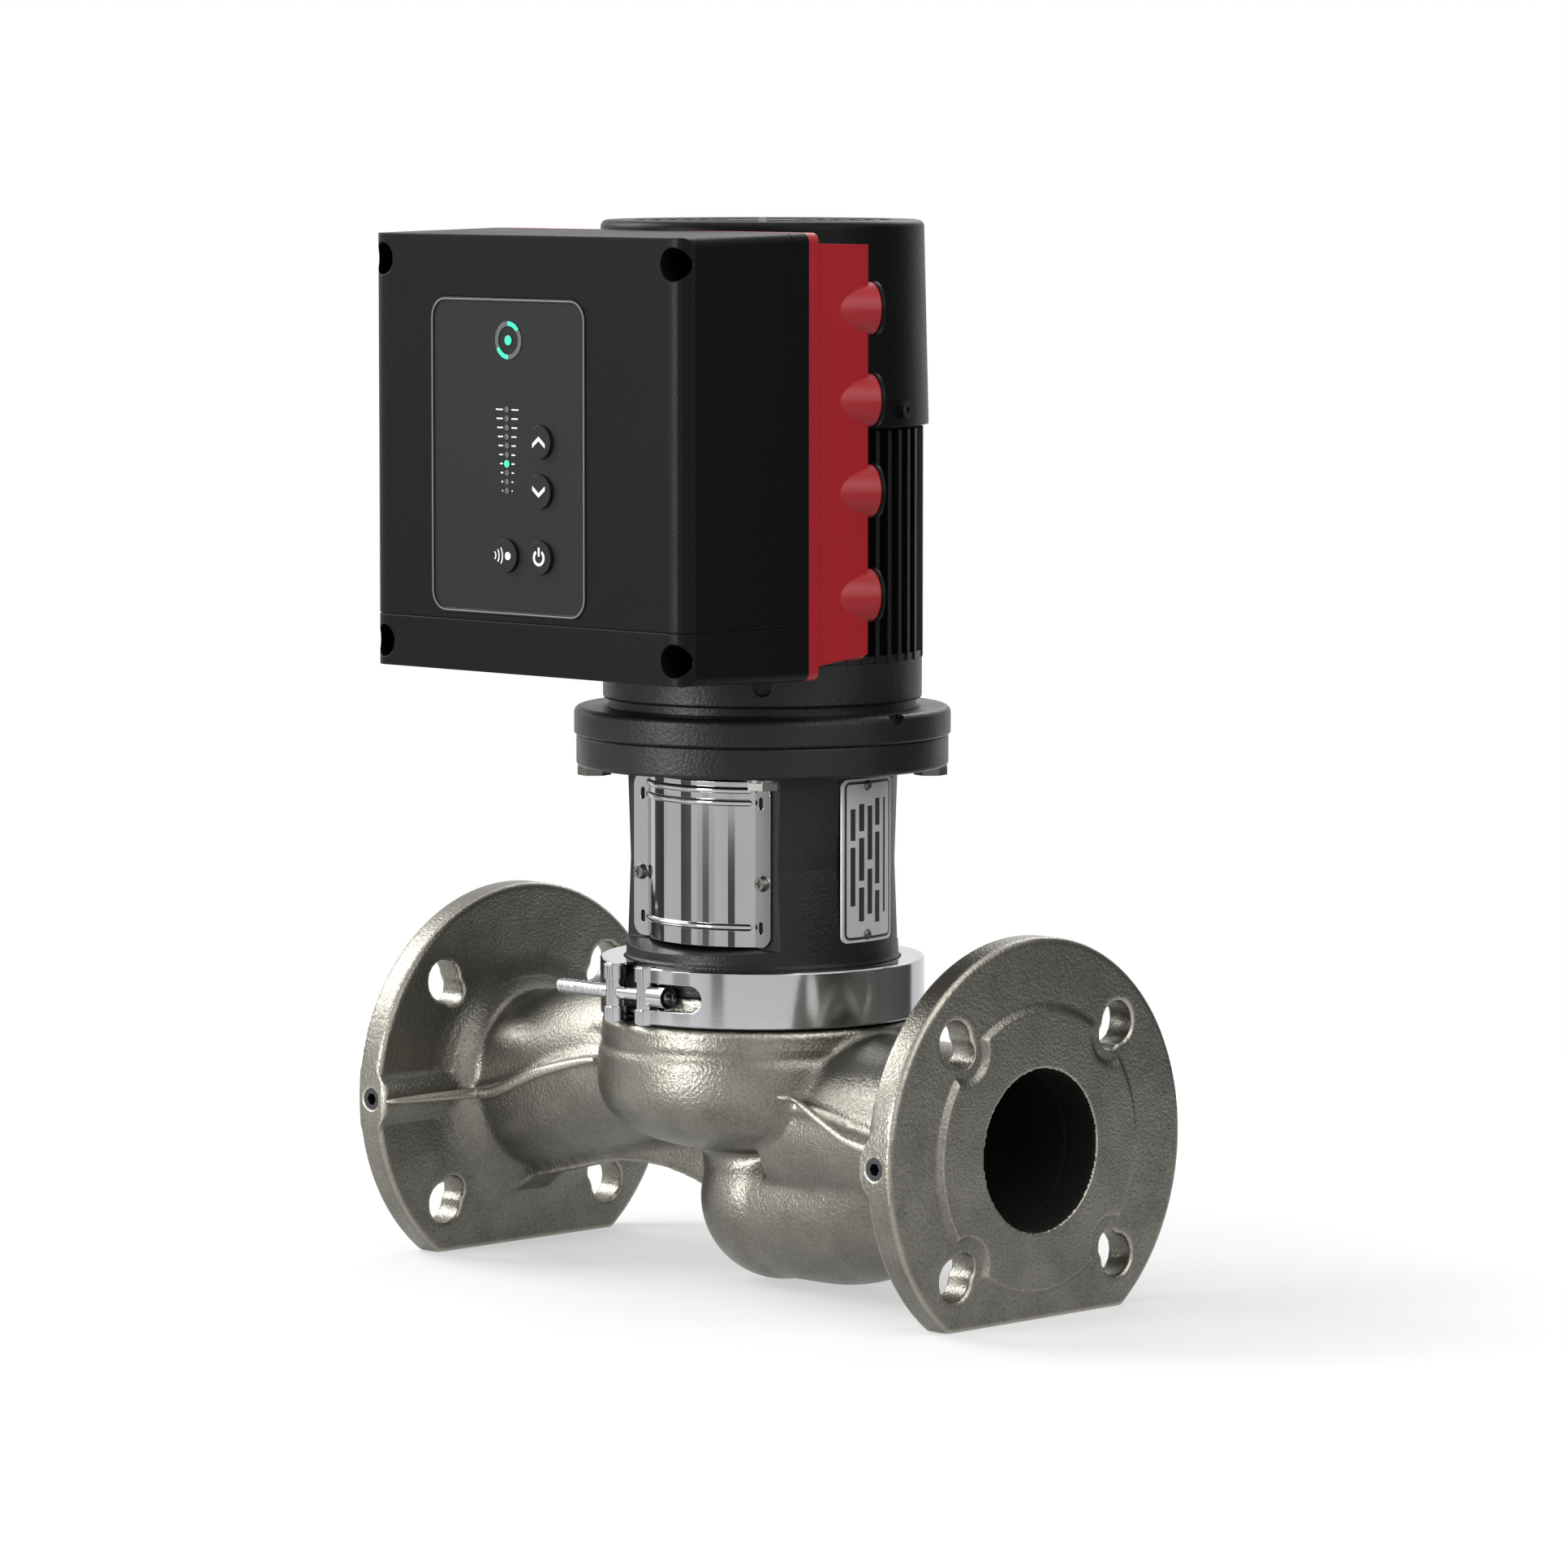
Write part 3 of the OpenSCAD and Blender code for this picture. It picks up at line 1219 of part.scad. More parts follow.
module level_lights() on_shaft() color("#4bd06a")
    front_plate(panel_face_y - 0.45 - light_depth, panel_face_y - 0.5 + light_proud) level_dots(0);

// Push button with a flange behind the panel that holds it in
module push_button(x, z) {
    back_y = panel_lip_y - panel_lip_t;
    on_shaft() color("#2f3134") translate([x, 0, z]) {
        rod_y(button_r, -panel_face_y - button_proud, -back_y + button_flange_t);
        rod_y(button_flange_r, -back_y + seat_gap, -back_y + seat_gap + button_flange_t);
    }
}

module up_button() push_button(button_right_x, up_z);

module down_button() push_button(button_right_x, down_z);

module wireless_button() push_button(button_left_x, low_row_z);

module power_button() push_button(button_right_x, low_row_z);

module control_board() on_shaft() color("#2f6b3c")
    front_plate(control_board_y - board_t, control_board_y) panel_outline(-6);

module power_board() on_shaft() color("#2f6b3c")
    front_plate(power_board_y, power_board_y + board_t) translate([0, (box_z0 + box_z1) / 2])
        square([2 * (box_half_w - board_side_gap), box_z1 - box_z0 - 2 * board_end_gap], center = true);

module capacitors() on_shaft() color("#34363a") for (i = [0:2])
    translate([capacitor_x + capacitor_pitch * i, 0, box_z1 - capacitor_drop])
        rod_y(capacitor_r, -board_top_y - capacitor_h, -board_top_y);

module terminal_block() on_shaft() color("#4a7f58") difference() {
    translate([-terminal_w / 2, -board_top_y - terminal_d, box_z0 + terminal_rise])
        cube([terminal_w, terminal_d, terminal_h]);
    for (i = [0:terminal_count - 1])
        translate([(i + 0.5 - terminal_count / 2) * terminal_w / terminal_count, 0,
            box_z0 + terminal_rise + terminal_h / 2])
            rod_y(terminal_hole_r, -board_top_y - 2 * terminal_d, -board_top_y - terminal_d / 2);
}

module box_mounting_screws() on_shaft() color(steel) for (z = mount_screw_zs, m = [-1, 1])
    translate([m * mount_screw_x, -saddle_r - saddle_wall - 0.6, z]) rotate([90, 0, 0])
        socket_screw(mount_screw_r, mount_screw_l, mount_screw_head_r, mount_screw_head_h, 4);

pump_housing();
inlet_port();
outlet_port();
gauge_plugs();
wear_ring();
impeller();
impeller_nut();
housing_o_ring();
pump_head();
clamp_band();
clamp_barrels();
clamp_screw();
vent_screw();
seal_seat();
seal_ring();
seal_spring();
pump_shaft();
front_coupling_half();
rear_coupling_half();
coupling_screws();
front_guard();
rear_guard();
guard_screws();
nameplate();
nameplate_rivets();
motor_flange();
flange_bolts();
stator_housing();
stator_core();
stator_windings();
rotor_core();
rotor_magnets();
motor_shaft();
lower_bearing_outer();
lower_bearing_inner();
upper_bearing_outer();
upper_bearing_inner();
rear_end_shield();
cooling_fan();
fan_cover();
fan_cover_screws();
box_base();
box_gasket();
box_cover();
box_cover_screws();
control_panel();
up_button();
down_button();
wireless_button();
power_button();
status_light();
level_lights();
cable_plugs();
power_board();
control_board();
capacitors();
terminal_block();
box_mounting_screws();
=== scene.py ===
"""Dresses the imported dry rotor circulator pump: finishes, fine pieces, studio and camera.

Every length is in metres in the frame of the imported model, whose origin is the centre of the
inlet flange face, with +Z up along the shaft and the control box facing -Y.
"""

import json
import logging
import math
from dataclasses import dataclass
from enum import Enum
from typing import Callable, Iterable, Sequence

import bmesh
import bpy
from mathutils import Matrix, Vector


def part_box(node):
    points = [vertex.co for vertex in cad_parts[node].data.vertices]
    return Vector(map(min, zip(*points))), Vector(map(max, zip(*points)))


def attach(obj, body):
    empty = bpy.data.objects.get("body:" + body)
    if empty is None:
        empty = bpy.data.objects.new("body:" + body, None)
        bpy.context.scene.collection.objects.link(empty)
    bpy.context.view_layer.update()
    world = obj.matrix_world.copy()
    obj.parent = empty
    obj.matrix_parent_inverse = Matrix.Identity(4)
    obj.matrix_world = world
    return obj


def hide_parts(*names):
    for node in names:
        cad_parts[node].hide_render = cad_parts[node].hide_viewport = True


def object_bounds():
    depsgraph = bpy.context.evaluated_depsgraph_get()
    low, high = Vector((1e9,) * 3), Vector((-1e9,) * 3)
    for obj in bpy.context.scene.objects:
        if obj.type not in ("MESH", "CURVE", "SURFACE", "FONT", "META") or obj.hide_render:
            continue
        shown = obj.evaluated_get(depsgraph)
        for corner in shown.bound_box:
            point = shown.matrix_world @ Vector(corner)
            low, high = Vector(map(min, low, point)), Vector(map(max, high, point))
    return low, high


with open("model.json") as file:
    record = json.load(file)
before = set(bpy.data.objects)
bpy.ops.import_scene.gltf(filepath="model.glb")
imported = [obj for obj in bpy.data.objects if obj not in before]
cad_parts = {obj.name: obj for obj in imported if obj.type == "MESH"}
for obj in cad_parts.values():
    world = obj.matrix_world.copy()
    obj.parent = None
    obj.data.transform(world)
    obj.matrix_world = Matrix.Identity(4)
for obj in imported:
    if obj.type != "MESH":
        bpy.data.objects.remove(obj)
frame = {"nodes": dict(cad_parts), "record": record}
CAD_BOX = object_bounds()

log = logging.getLogger("circulator_pump")
MM = 0.001
NODES: dict[str, bpy.types.Object] = frame["nodes"]
SHAFT_X = sum(corner.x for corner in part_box("motor_shaft")) / 2


class Body(Enum):
    """Moving bodies of the pump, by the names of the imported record."""

    PUMP = "pump_body"
    ROTOR = "rotor"
    UP_KEY = "up_key"
    DOWN_KEY = "down_key"
    WIRELESS_KEY = "wireless_key"
    POWER_KEY = "power_key"


class Surface(Enum):
    """How a surface was made, which sets the pattern of its grain."""

    CAST = "cast"
    PAINTED_CAST = "painted cast"
    BRUSHED_ROUND = "brushed round the shaft"
    TURNED = "turned"
    MOULDED = "moulded"
    FILM = "film"
    STACKED = "stacked sheet"
    WOUND = "wound wire"
    LIT = "lit"


def linear(hex_colour: str) -> tuple[float, float, float, float]:
    """Turns an sRGB hex colour to the linear colour that a shader takes.

    Args:
        hex_colour: Six hex digits after a hash sign.

    Returns:
        Red, green, blue and an alpha of one.
    """
    channels = [int(hex_colour[i:i + 2], 16) / 255 for i in (1, 3, 5)]
    low = [c / 12.92 if c <= 0.04045 else ((c + 0.055) / 1.055) ** 2.4 for c in channels]
    return (low[0], low[1], low[2], 1.0)


def add_node(tree: bpy.types.NodeTree, kind: str, links: dict | None = None,
             **settings: object) -> bpy.types.Node:
    """Adds a node with its settings and the links into its inputs.

    Args:
        tree: Node tree that takes the node.
        kind: Blender's name of the node type.
        links: Socket to fill, by name or index, with the output socket or the plain value.
        **settings: Node attributes to set.

    Returns:
        The new node.
    """
    node = tree.nodes.new(kind)
    for name, value in settings.items():
        setattr(node, name, value)
    for socket, value in (links or {}).items():
        if isinstance(value, bpy.types.NodeSocket):
            tree.links.new(value, node.inputs[socket])
        else:
            node.inputs[socket].default_value = value
    return node


def fresh_tree(owner: bpy.types.Material | bpy.types.World) -> bpy.types.NodeTree:
    """Gives a material or a world an empty node tree and returns it."""
    owner.use_nodes = True
    owner.node_tree.nodes.clear()
    return owner.node_tree


def new_object(name: str, data: bpy.types.ID) -> bpy.types.Object:
    """Puts an object with this data into the scene, at the origin."""
    obj = bpy.data.objects.new(name, data)
    bpy.context.scene.collection.objects.link(obj)
    return obj


def settled_mesh(obj: bpy.types.Object) -> bpy.types.Mesh:
    """Makes a plain mesh of an object's shape with its modifiers."""
    graph = bpy.context.evaluated_depsgraph_get()
    return bpy.data.meshes.new_from_object(obj.evaluated_get(graph))


def box_middle(node: str) -> tuple[float, float, float]:
    """Finds the middle of a CAD node's box, in metres."""
    low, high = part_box(node)
    return (low.x + high.x) / 2, (low.y + high.y) / 2, (low.z + high.z) / 2


@dataclass(frozen=True)
class Finish:
    """A finish of the pump, named for the real material and how it was made.

    Attributes:
        name: Name of the Blender material.
        base: Main colour.
        shade: Darker colour of the random tone of the grain, and the painted shade in the creases of a
            finish that paints its edges.
        surface: How the surface was made.
        grain_mm: Width of one grain of the pattern.
        depth_mm: Height of the grain over its ground.
        roughness: Mean roughness of the surface.
        spread: How far the roughness wanders from its mean.
        metallic: One for bare metal, nought for paint, plastic and rubber.
        edge_mm: Radius that a tool or a paint coat leaves on the edges.
        glow: Strength of the light that the piece gives off.
        shine: Strength of the clear reflection on a surface that isn't metal.
        edge_wear_and_highlight: Colour of the convex edges, partly wear from handling and partly a
            painted highlight, or nothing.
    """

    name: str
    base: str
    shade: str
    surface: Surface
    grain_mm: float = 0.8
    depth_mm: float = 0.02
    roughness: float = 0.5
    spread: float = 0.08
    metallic: float = 0.0
    edge_mm: float = 0.3
    glow: float = 0.0
    shine: float = 0.5
    edge_wear_and_highlight: str = ""

    def material(self) -> bpy.types.Material:
        """Builds the material once and returns it."""
        found = bpy.data.materials.get(self.name)
        if found:
            return found
        made = bpy.data.materials.new(self.name)
        tree = fresh_tree(made)
        place = add_node(tree, "ShaderNodeTexCoord").outputs["Object"]
        tone, height = self._pattern(tree, place)
        colour = add_node(tree, "ShaderNodeMix", {0: tone, 6: linear(self.base), 7: linear(self.shade)},
                          data_type="RGBA")
        rough = add_node(tree, "ShaderNodeMapRange", {
            "Value": tone, "To Min": self.roughness - self.spread,
            "To Max": min(1.0, self.roughness + self.spread)})
        soft_edge = add_node(tree, "ShaderNodeBevel", {"Radius": self.edge_mm * MM}, samples=4)
        paint = colour.outputs[2]
        if self.edge_wear_and_highlight:
            paint = self._paint_edge_light_and_crease_shade(tree, paint)
        bump = add_node(tree, "ShaderNodeBump", {
            "Height": height, "Distance": self.depth_mm * MM, "Normal": soft_edge.outputs[0]})
        shader = add_node(tree, "ShaderNodeBsdfPrincipled", {
            "Base Color": paint, "Roughness": rough.outputs[0], "Normal": bump.outputs[0],
            "Metallic": self.metallic})
        if not self.metallic:
            shader.inputs["Specular IOR Level"].default_value = self.shine
        if self.glow:
            shader.inputs["Emission Color"].default_value = linear(self.base)
            shader.inputs["Emission Strength"].default_value = self.glow
        add_node(tree, "ShaderNodeOutputMaterial", {"Surface": shader.outputs[0]})
        return made

    def _paint_edge_light_and_crease_shade(self, tree: bpy.types.NodeTree, paint: bpy.types.NodeSocket
             ) -> bpy.types.NodeSocket:
        """Paints a highlight on the convex edges, partly as the wear that hands and tools leave, and
        paints shade in the creases.

        Args:
            tree: Node tree of the material.
            paint: Colour away from the edges.

        Returns:
            The colour with its painted edge highlights and its painted crease shade.
        """
        bend = add_node(tree, "ShaderNodeNewGeometry").outputs["Pointiness"]
        # Painted shade darkens the creases, and a painted highlight, partly real wear, brightens the
        # convex edges
        for colour, start, end in ((self.shade, 0.492, 0.455), (self.edge_wear_and_highlight, 0.515, 0.56)):
            share = add_node(tree, "ShaderNodeMapRange", {
                "Value": bend, "From Min": start, "From Max": end})
            paint = add_node(tree, "ShaderNodeMix", {
                0: share.outputs[0], 6: paint, 7: linear(colour)}, data_type="RGBA").outputs[2]
        return paint

    def _pattern(self, tree: bpy.types.NodeTree, place: bpy.types.NodeSocket
                 ) -> tuple[bpy.types.NodeSocket, bpy.types.NodeSocket]:
        """Makes the grain of the surface.

        Args:
            tree: Node tree of the material.
            place: Object coordinates, in metres.

        Returns:
            The tone, from 0 to 1, and the height, from 0 to 1.
        """
        scale = 1 / (self.grain_mm * MM)
        if self.surface in (Surface.CAST, Surface.PAINTED_CAST):
            return self._cast(tree, place, scale)
        stretch = {
            Surface.BRUSHED_ROUND: (0.02, 0.02, 1.0), Surface.TURNED: (0.05, 0.05, 1.0),
            Surface.STACKED: (0.01, 0.01, 1.0), Surface.WOUND: (0.3, 0.3, 1.0),
        }.get(self.surface, (1.0, 1.0, 1.0))
        turned = add_node(tree, "ShaderNodeMapping", {"Vector": place, "Scale": stretch})
        grain = add_node(tree, "ShaderNodeTexNoise", {
            "Vector": turned.outputs[0], "Scale": scale, "Detail": 3.0, "Roughness": 0.55})
        cloud = add_node(tree, "ShaderNodeTexNoise", {"Vector": place, "Scale": 28.0, "Detail": 2.0})
        tone = add_node(tree, "ShaderNodeMix", {0: 0.4, 2: cloud.outputs[0], 3: grain.outputs[0]})
        return tone.outputs[0], grain.outputs[0]

    def _cast(self, tree: bpy.types.NodeTree, place: bpy.types.NodeSocket, scale: float
              ) -> tuple[bpy.types.NodeSocket, bpy.types.NodeSocket]:
        """Makes the sand-cast skin: fine grains on broad waves.

        Args:
            tree: Node tree of the material.
            place: Object coordinates, in metres.
            scale: Grains to a metre.

        Returns:
            The tone and the height of the skin.
        """
        grain = add_node(tree, "ShaderNodeTexNoise", {
            "Vector": place, "Scale": scale, "Detail": 2.5, "Roughness": 0.55})
        wave = add_node(tree, "ShaderNodeTexNoise", {
            "Vector": place, "Scale": scale / 6, "Detail": 2.0, "Roughness": 0.5})
        height = add_node(tree, "ShaderNodeMix", {0: 0.35, 2: grain.outputs[0], 3: wave.outputs[0]})
        cloud = add_node(tree, "ShaderNodeTexNoise", {"Vector": place, "Scale": 45.0, "Detail": 4.0})
        tone = add_node(tree, "ShaderNodeMix", {0: 0.5, 2: cloud.outputs[0], 3: grain.outputs[0]})
        clear = add_node(tree, "ShaderNodeMapRange", {
            "Value": tone.outputs[0], "From Min": 0.32, "From Max": 0.68})
        return clear.outputs[0], height.outputs[0]


# Cast and then bead blasted: a warm grey skin with fine grain and soft highlights. Its edge colour is a
# painted highlight on the convex edges, partly real wear, and its darker colour is also painted as
# shade in the creases.
CAST_STAINLESS = Finish("bead_blasted_cast_stainless", "#85837b", "#63615a", Surface.CAST,
                        grain_mm=1.35, depth_mm=0.46, roughness=0.36, spread=0.05, metallic=1.0,
                        edge_mm=1.0, edge_wear_and_highlight="#bdb9ad")
# The same skin inside the water passages, painted dark as the shade that falls deep in them
PASSAGE_SHADE = Finish("painted_shade_cast_passage", "#2a2825", "#1b1a18", Surface.CAST, grain_mm=1.5,
                      depth_mm=0.26, roughness=0.62, spread=0.06, metallic=0.6)
# Lathe turned: fine rings catch the light as streaks
TURNED_STEEL = Finish("turned_steel", "#b9bbbd", "#9b9ea1", Surface.TURNED, grain_mm=0.5,
                      depth_mm=0.01, roughness=0.3, metallic=1.0)
# Polished strip: mirror with faint drawn lines
POLISHED_STAINLESS = Finish("polished_stainless_strip", "#b9babc", "#a6a7a9",
                            Surface.BRUSHED_ROUND, grain_mm=0.6, depth_mm=0.004, roughness=0.13,
                            spread=0.04, metallic=1.0, edge_mm=0.4)
# Bright rolled sheet: a clear mirror
BRIGHT_SHEET = Finish("bright_rolled_sheet", "#adaeb0", "#9fa0a2", Surface.BRUSHED_ROUND,
                      grain_mm=0.6, depth_mm=0.001, roughness=0.09, spread=0.03, metallic=1.0,
                      edge_mm=0.3)
# Wet paint over cast iron keeps the sand grain of the casting under a satin skin
PAINTED_IRON = Finish("satin_paint_on_cast_iron", "#161718", "#0f1011", Surface.PAINTED_CAST,
                      grain_mm=1.3, depth_mm=0.38, roughness=0.4, edge_mm=0.8, shine=0.24)
# Powder coat on die-cast aluminium: fine orange peel, matt black
COATED_ALUMINIUM = Finish("powder_coated_aluminium", "#121314", "#0d0e0f", Surface.MOULDED,
                          grain_mm=0.9, depth_mm=0.03, roughness=0.42, edge_mm=0.4, shine=0.22)
# Zinc plating: pale and slightly yellow, softly bright
ZINC_PLATED = Finish("zinc_plated_steel", "#a9a7a1", "#868580", Surface.TURNED, grain_mm=0.7,
                     depth_mm=0.01, roughness=0.34, metallic=1.0)
# Zinc that has gone dull in store: mid grey, still metallic
DULL_ZINC = Finish("dull_zinc_on_steel", "#6a6966", "#545350", Surface.TURNED, grain_mm=0.7,
                   depth_mm=0.01, roughness=0.42, metallic=1.0)
# Black oxide: dark blue grey steel with a dry shine
BLACK_OXIDE = Finish("black_oxide_steel", "#2e3033", "#1e2022", Surface.TURNED, grain_mm=0.7,
                     depth_mm=0.01, roughness=0.38, metallic=0.8)
# Ground silicon carbide, dense and dark grey
SEAL_CERAMIC = Finish("ground_seal_ceramic", "#55565a", "#45464a", Surface.MOULDED, grain_mm=0.3,
                      depth_mm=0.004, roughness=0.28)
# Resin bonded carbon, matt black grey
SEAL_CARBON = Finish("seal_carbon", "#2f3033", "#232426", Surface.MOULDED, grain_mm=0.4,
                     depth_mm=0.006, roughness=0.42)
# Moulded rubber: matt, with a bloom that lifts its black
RUBBER = Finish("moulded_rubber", "#1a1a1b", "#111112", Surface.MOULDED, grain_mm=0.5,
                depth_mm=0.012, roughness=0.7)
# Turned brass: warm yellow with fine rings
BRASS = Finish("turned_brass", "#c9a257", "#a8823f", Surface.TURNED, grain_mm=0.5, depth_mm=0.01,
               roughness=0.3, metallic=1.0)
# Stamped sheets, drawn thicker than their real 0.5 mm so that the stack shows
LAMINATIONS = Finish("stacked_lamination_steel", "#7d8085", "#4e5155", Surface.STACKED,
                     grain_mm=1.2, depth_mm=0.08, roughness=0.42, metallic=0.9)
# Enamelled wire under varnish, drawn as turns of 1.5 mm
COPPER = Finish("enamelled_copper_winding", "#b5652d", "#7c3f18", Surface.WOUND, grain_mm=1.5,
                depth_mm=0.2, roughness=0.35, metallic=0.8)
# Sintered magnet: grey and grainy, half bright
MAGNET = Finish("sintered_magnet", "#5a5c60", "#46484c", Surface.MOULDED, grain_mm=0.6,
                depth_mm=0.01, roughness=0.45, metallic=0.6)
# Glass filled polymer with a spark-eroded grain, drawn at 1 mm so that it shows
BLACK_POLYMER = Finish("textured_black_polymer", "#0e0f10", "#0a0a0b", Surface.MOULDED,
                       grain_mm=1.0, depth_mm=0.1, roughness=0.38, spread=0.08, edge_mm=0.9,
                       shine=0.08)
# Printed polyester film over the keys: smooth, satin and a little lighter
PANEL_FILM = Finish("satin_panel_film", "#1d1e1e", "#1a1b1b", Surface.FILM, grain_mm=0.5,
                    depth_mm=0.006, roughness=0.38, spread=0.03, shine=0.14)
# Pale line along the moulded edge of the panel
FRAME_EDGE = Finish("pale_moulded_edge", "#6e7071", "#626465", Surface.FILM, depth_mm=0.003,
                    roughness=0.45, spread=0.03, edge_mm=0.1)
# The polymer of the cover in signal red, with a finer grain
RED_POLYMER = Finish("textured_red_polymer", "#ab1a25", "#93141e", Surface.MOULDED, grain_mm=0.7,
                     depth_mm=0.045, roughness=0.42, spread=0.06, edge_mm=0.9, shine=0.35)
# Smoked light guide with no light behind it: a dull grey dot
LIGHT_OFF = Finish("smoked_light_guide", "#4b4d4d", "#414343", Surface.FILM, depth_mm=0.003,
                   roughness=0.4, spread=0.02)
# Clear guide lit from behind by a green diode
LIGHT_GREEN = Finish("green_lit_guide", "#2cd49c", "#26c28e", Surface.LIT, depth_mm=0.002,
                     roughness=0.3, spread=0.02, glow=0.75)
# Screen printed ink: flat white
SCREEN_WHITE = Finish("white_screen_ink", "#e9eaea", "#dcdddd", Surface.FILM, depth_mm=0.002,
                      roughness=0.5, spread=0.02, edge_mm=0.02)
# Solder mask over copper: deep glossy green
CIRCUIT_BOARD = Finish("solder_mask_board", "#1d5a33", "#164626", Surface.FILM, depth_mm=0.01,
                       roughness=0.32)
# Moulded terminal block: pale green, matt
TERMINAL = Finish("moulded_terminal_green", "#4a7f58", "#3c6a49", Surface.MOULDED, roughness=0.5)
# Shrunk sleeve of a capacitor: smooth and near black
CAN_SLEEVE = Finish("capacitor_sleeve", "#26282c", "#1b1d20", Surface.FILM, depth_mm=0.004,
                    roughness=0.28)
# Anodised aluminium plate: pale and matt, only partly mirror-like
PLATE_METAL = Finish("anodised_plate", "#d4d5d3", "#c3c4c1", Surface.FILM, grain_mm=0.4,
                     depth_mm=0.004, roughness=0.4, metallic=0.3)
# Printed ink of the plate: flat black
PLATE_INK = Finish("black_plate_ink", "#161718", "#1f2021", Surface.FILM, depth_mm=0.002,
                   roughness=0.42, edge_mm=0.02)

NODE_FINISH: dict[str, Finish] = {
    "front_guard": BRIGHT_SHEET, "rear_guard": BRIGHT_SHEET, "nameplate": PLATE_METAL,
    "flange_bolts": DULL_ZINC, "guard_screws": DULL_ZINC, "nameplate_rivets": DULL_ZINC,
}
SLOT_FINISH: dict[str, Finish] = {
    "cast_stainless": CAST_STAINLESS, "turned_steel": TURNED_STEEL,
    "polished_stainless": POLISHED_STAINLESS, "painted_cast_iron": PAINTED_IRON,
    "painted_aluminium": COATED_ALUMINIUM, "zinc_plated_steel": ZINC_PLATED,
    "black_oxide_steel": BLACK_OXIDE, "ceramic": SEAL_CERAMIC, "carbon": SEAL_CARBON,
    "rubber": RUBBER, "brass": BRASS, "lamination_steel": LAMINATIONS, "copper_wire": COPPER,
    "magnet": MAGNET, "black_plastic": BLACK_POLYMER, "panel_plastic": PANEL_FILM,
    "red_plastic": RED_POLYMER, "light_guide": LIGHT_OFF, "circuit_board": CIRCUIT_BOARD,
    "terminal_plastic": TERMINAL, "capacitor_sleeve": CAN_SLEEVE,
}


def dress_cad_nodes() -> None:
    """Gives every CAD node the finish of its material slot in the record."""
    for part in frame["record"]["subparts"]:
        node = NODES[part["node"]]
        node.data.materials.clear()
        finish = NODE_FINISH.get(part["node"], SLOT_FINISH[part["material_slot"]])
        node.data.materials.append(finish.material())


def keep_piece(obj: bpy.types.Object, finish: Finish, body: Body,
               replaced: Sequence[str] = ()) -> bpy.types.Object:
    """Dresses a finished piece, makes it ride on its body and reports it.

    Args:
        obj: Piece at the origin, with its place in its mesh.
        finish: Finish of the whole piece.
        body: Body that carries the piece.
        replaced: CAD nodes that the piece stands for.

    Returns:
        The same piece.
    """
    obj.data.materials.clear()
    obj.data.materials.append(finish.material())
    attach(obj, body.value)
    if replaced:
        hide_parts(*replaced)
    log.info("%s: %d faces on %s", obj.name, len(obj.data.polygons), body.value)
    return obj


def new_piece(name: str, mesh: bmesh.types.BMesh) -> bpy.types.Object:
    """Turns a bmesh to an object with clean outward normals.

    Args:
        name: Name of the piece.
        mesh: Geometry in the frame's metres. It is freed.

    Returns:
        The object, at the origin.
    """
    bmesh.ops.recalc_face_normals(mesh, faces=mesh.faces)
    data = bpy.data.meshes.new(name)
    mesh.to_mesh(data)
    mesh.free()
    return new_object(name, data)


def prism(mesh: bmesh.types.BMesh, outline: Sequence[tuple[float, float]], to_place: Matrix,
          thickness: float) -> None:
    """Adds a flat outline as a thin prism.

    Args:
        mesh: Geometry that takes the prism.
        outline: Points of the outline in its own plane, in millimetres.
        to_place: Takes the outline's plane, whose third axis is the outward one, to the frame.
        thickness: Height of the prism, in millimetres.
    """
    rings = []
    for height in (0.0, thickness):
        rings.append([mesh.verts.new(to_place @ Vector((u * MM, v * MM, height * MM)))
                      for u, v in outline])
    mesh.faces.new(rings[1])
    mesh.faces.new(rings[0][::-1])
    count = len(outline)
    for i in range(count):
        j = (i + 1) % count
        mesh.faces.new((rings[0][i], rings[0][j], rings[1][j], rings[1][i]))


def arc_band(radius: float, width: float, start: float, end: float, steps: int = 20
             ) -> list[tuple[float, float]]:
    """Outline of a part of a ring.

    Args:
        radius: Middle radius, in millimetres.
        width: Width of the band, in millimetres.
        start: First angle, in degrees.
        end: Last angle, in degrees.
        steps: Number of facets.

    Returns:
        Points of the closed outline.
    """
    angles = [math.radians(start + (end - start) * i / steps) for i in range(steps + 1)]
    outer, inner = radius + width / 2, radius - width / 2
    return ([(outer * math.cos(a), outer * math.sin(a)) for a in angles]
            + [(inner * math.cos(a), inner * math.sin(a)) for a in reversed(angles)])


def disc_outline(radius: float, steps: int = 32) -> list[tuple[float, float]]:
    """Outline of a disc, in millimetres."""
    turn = 2 * math.pi / steps
    return [(radius * math.cos(turn * i), radius * math.sin(turn * i)) for i in range(steps)]


def facing_front(x: float, y: float, z: float) -> Matrix:
    """Places a flat outline on a face that looks towards -Y.

    Args:
        x: Place across the box, in metres.
        y: Place of the face, in metres.
        z: Height, in metres.

    Returns:
        Matrix that takes right, up and outward to the frame.
    """
    return Matrix(((1, 0, 0, x), (0, 0, -1, y), (0, 1, 0, z), (0, 0, 0, 1)))


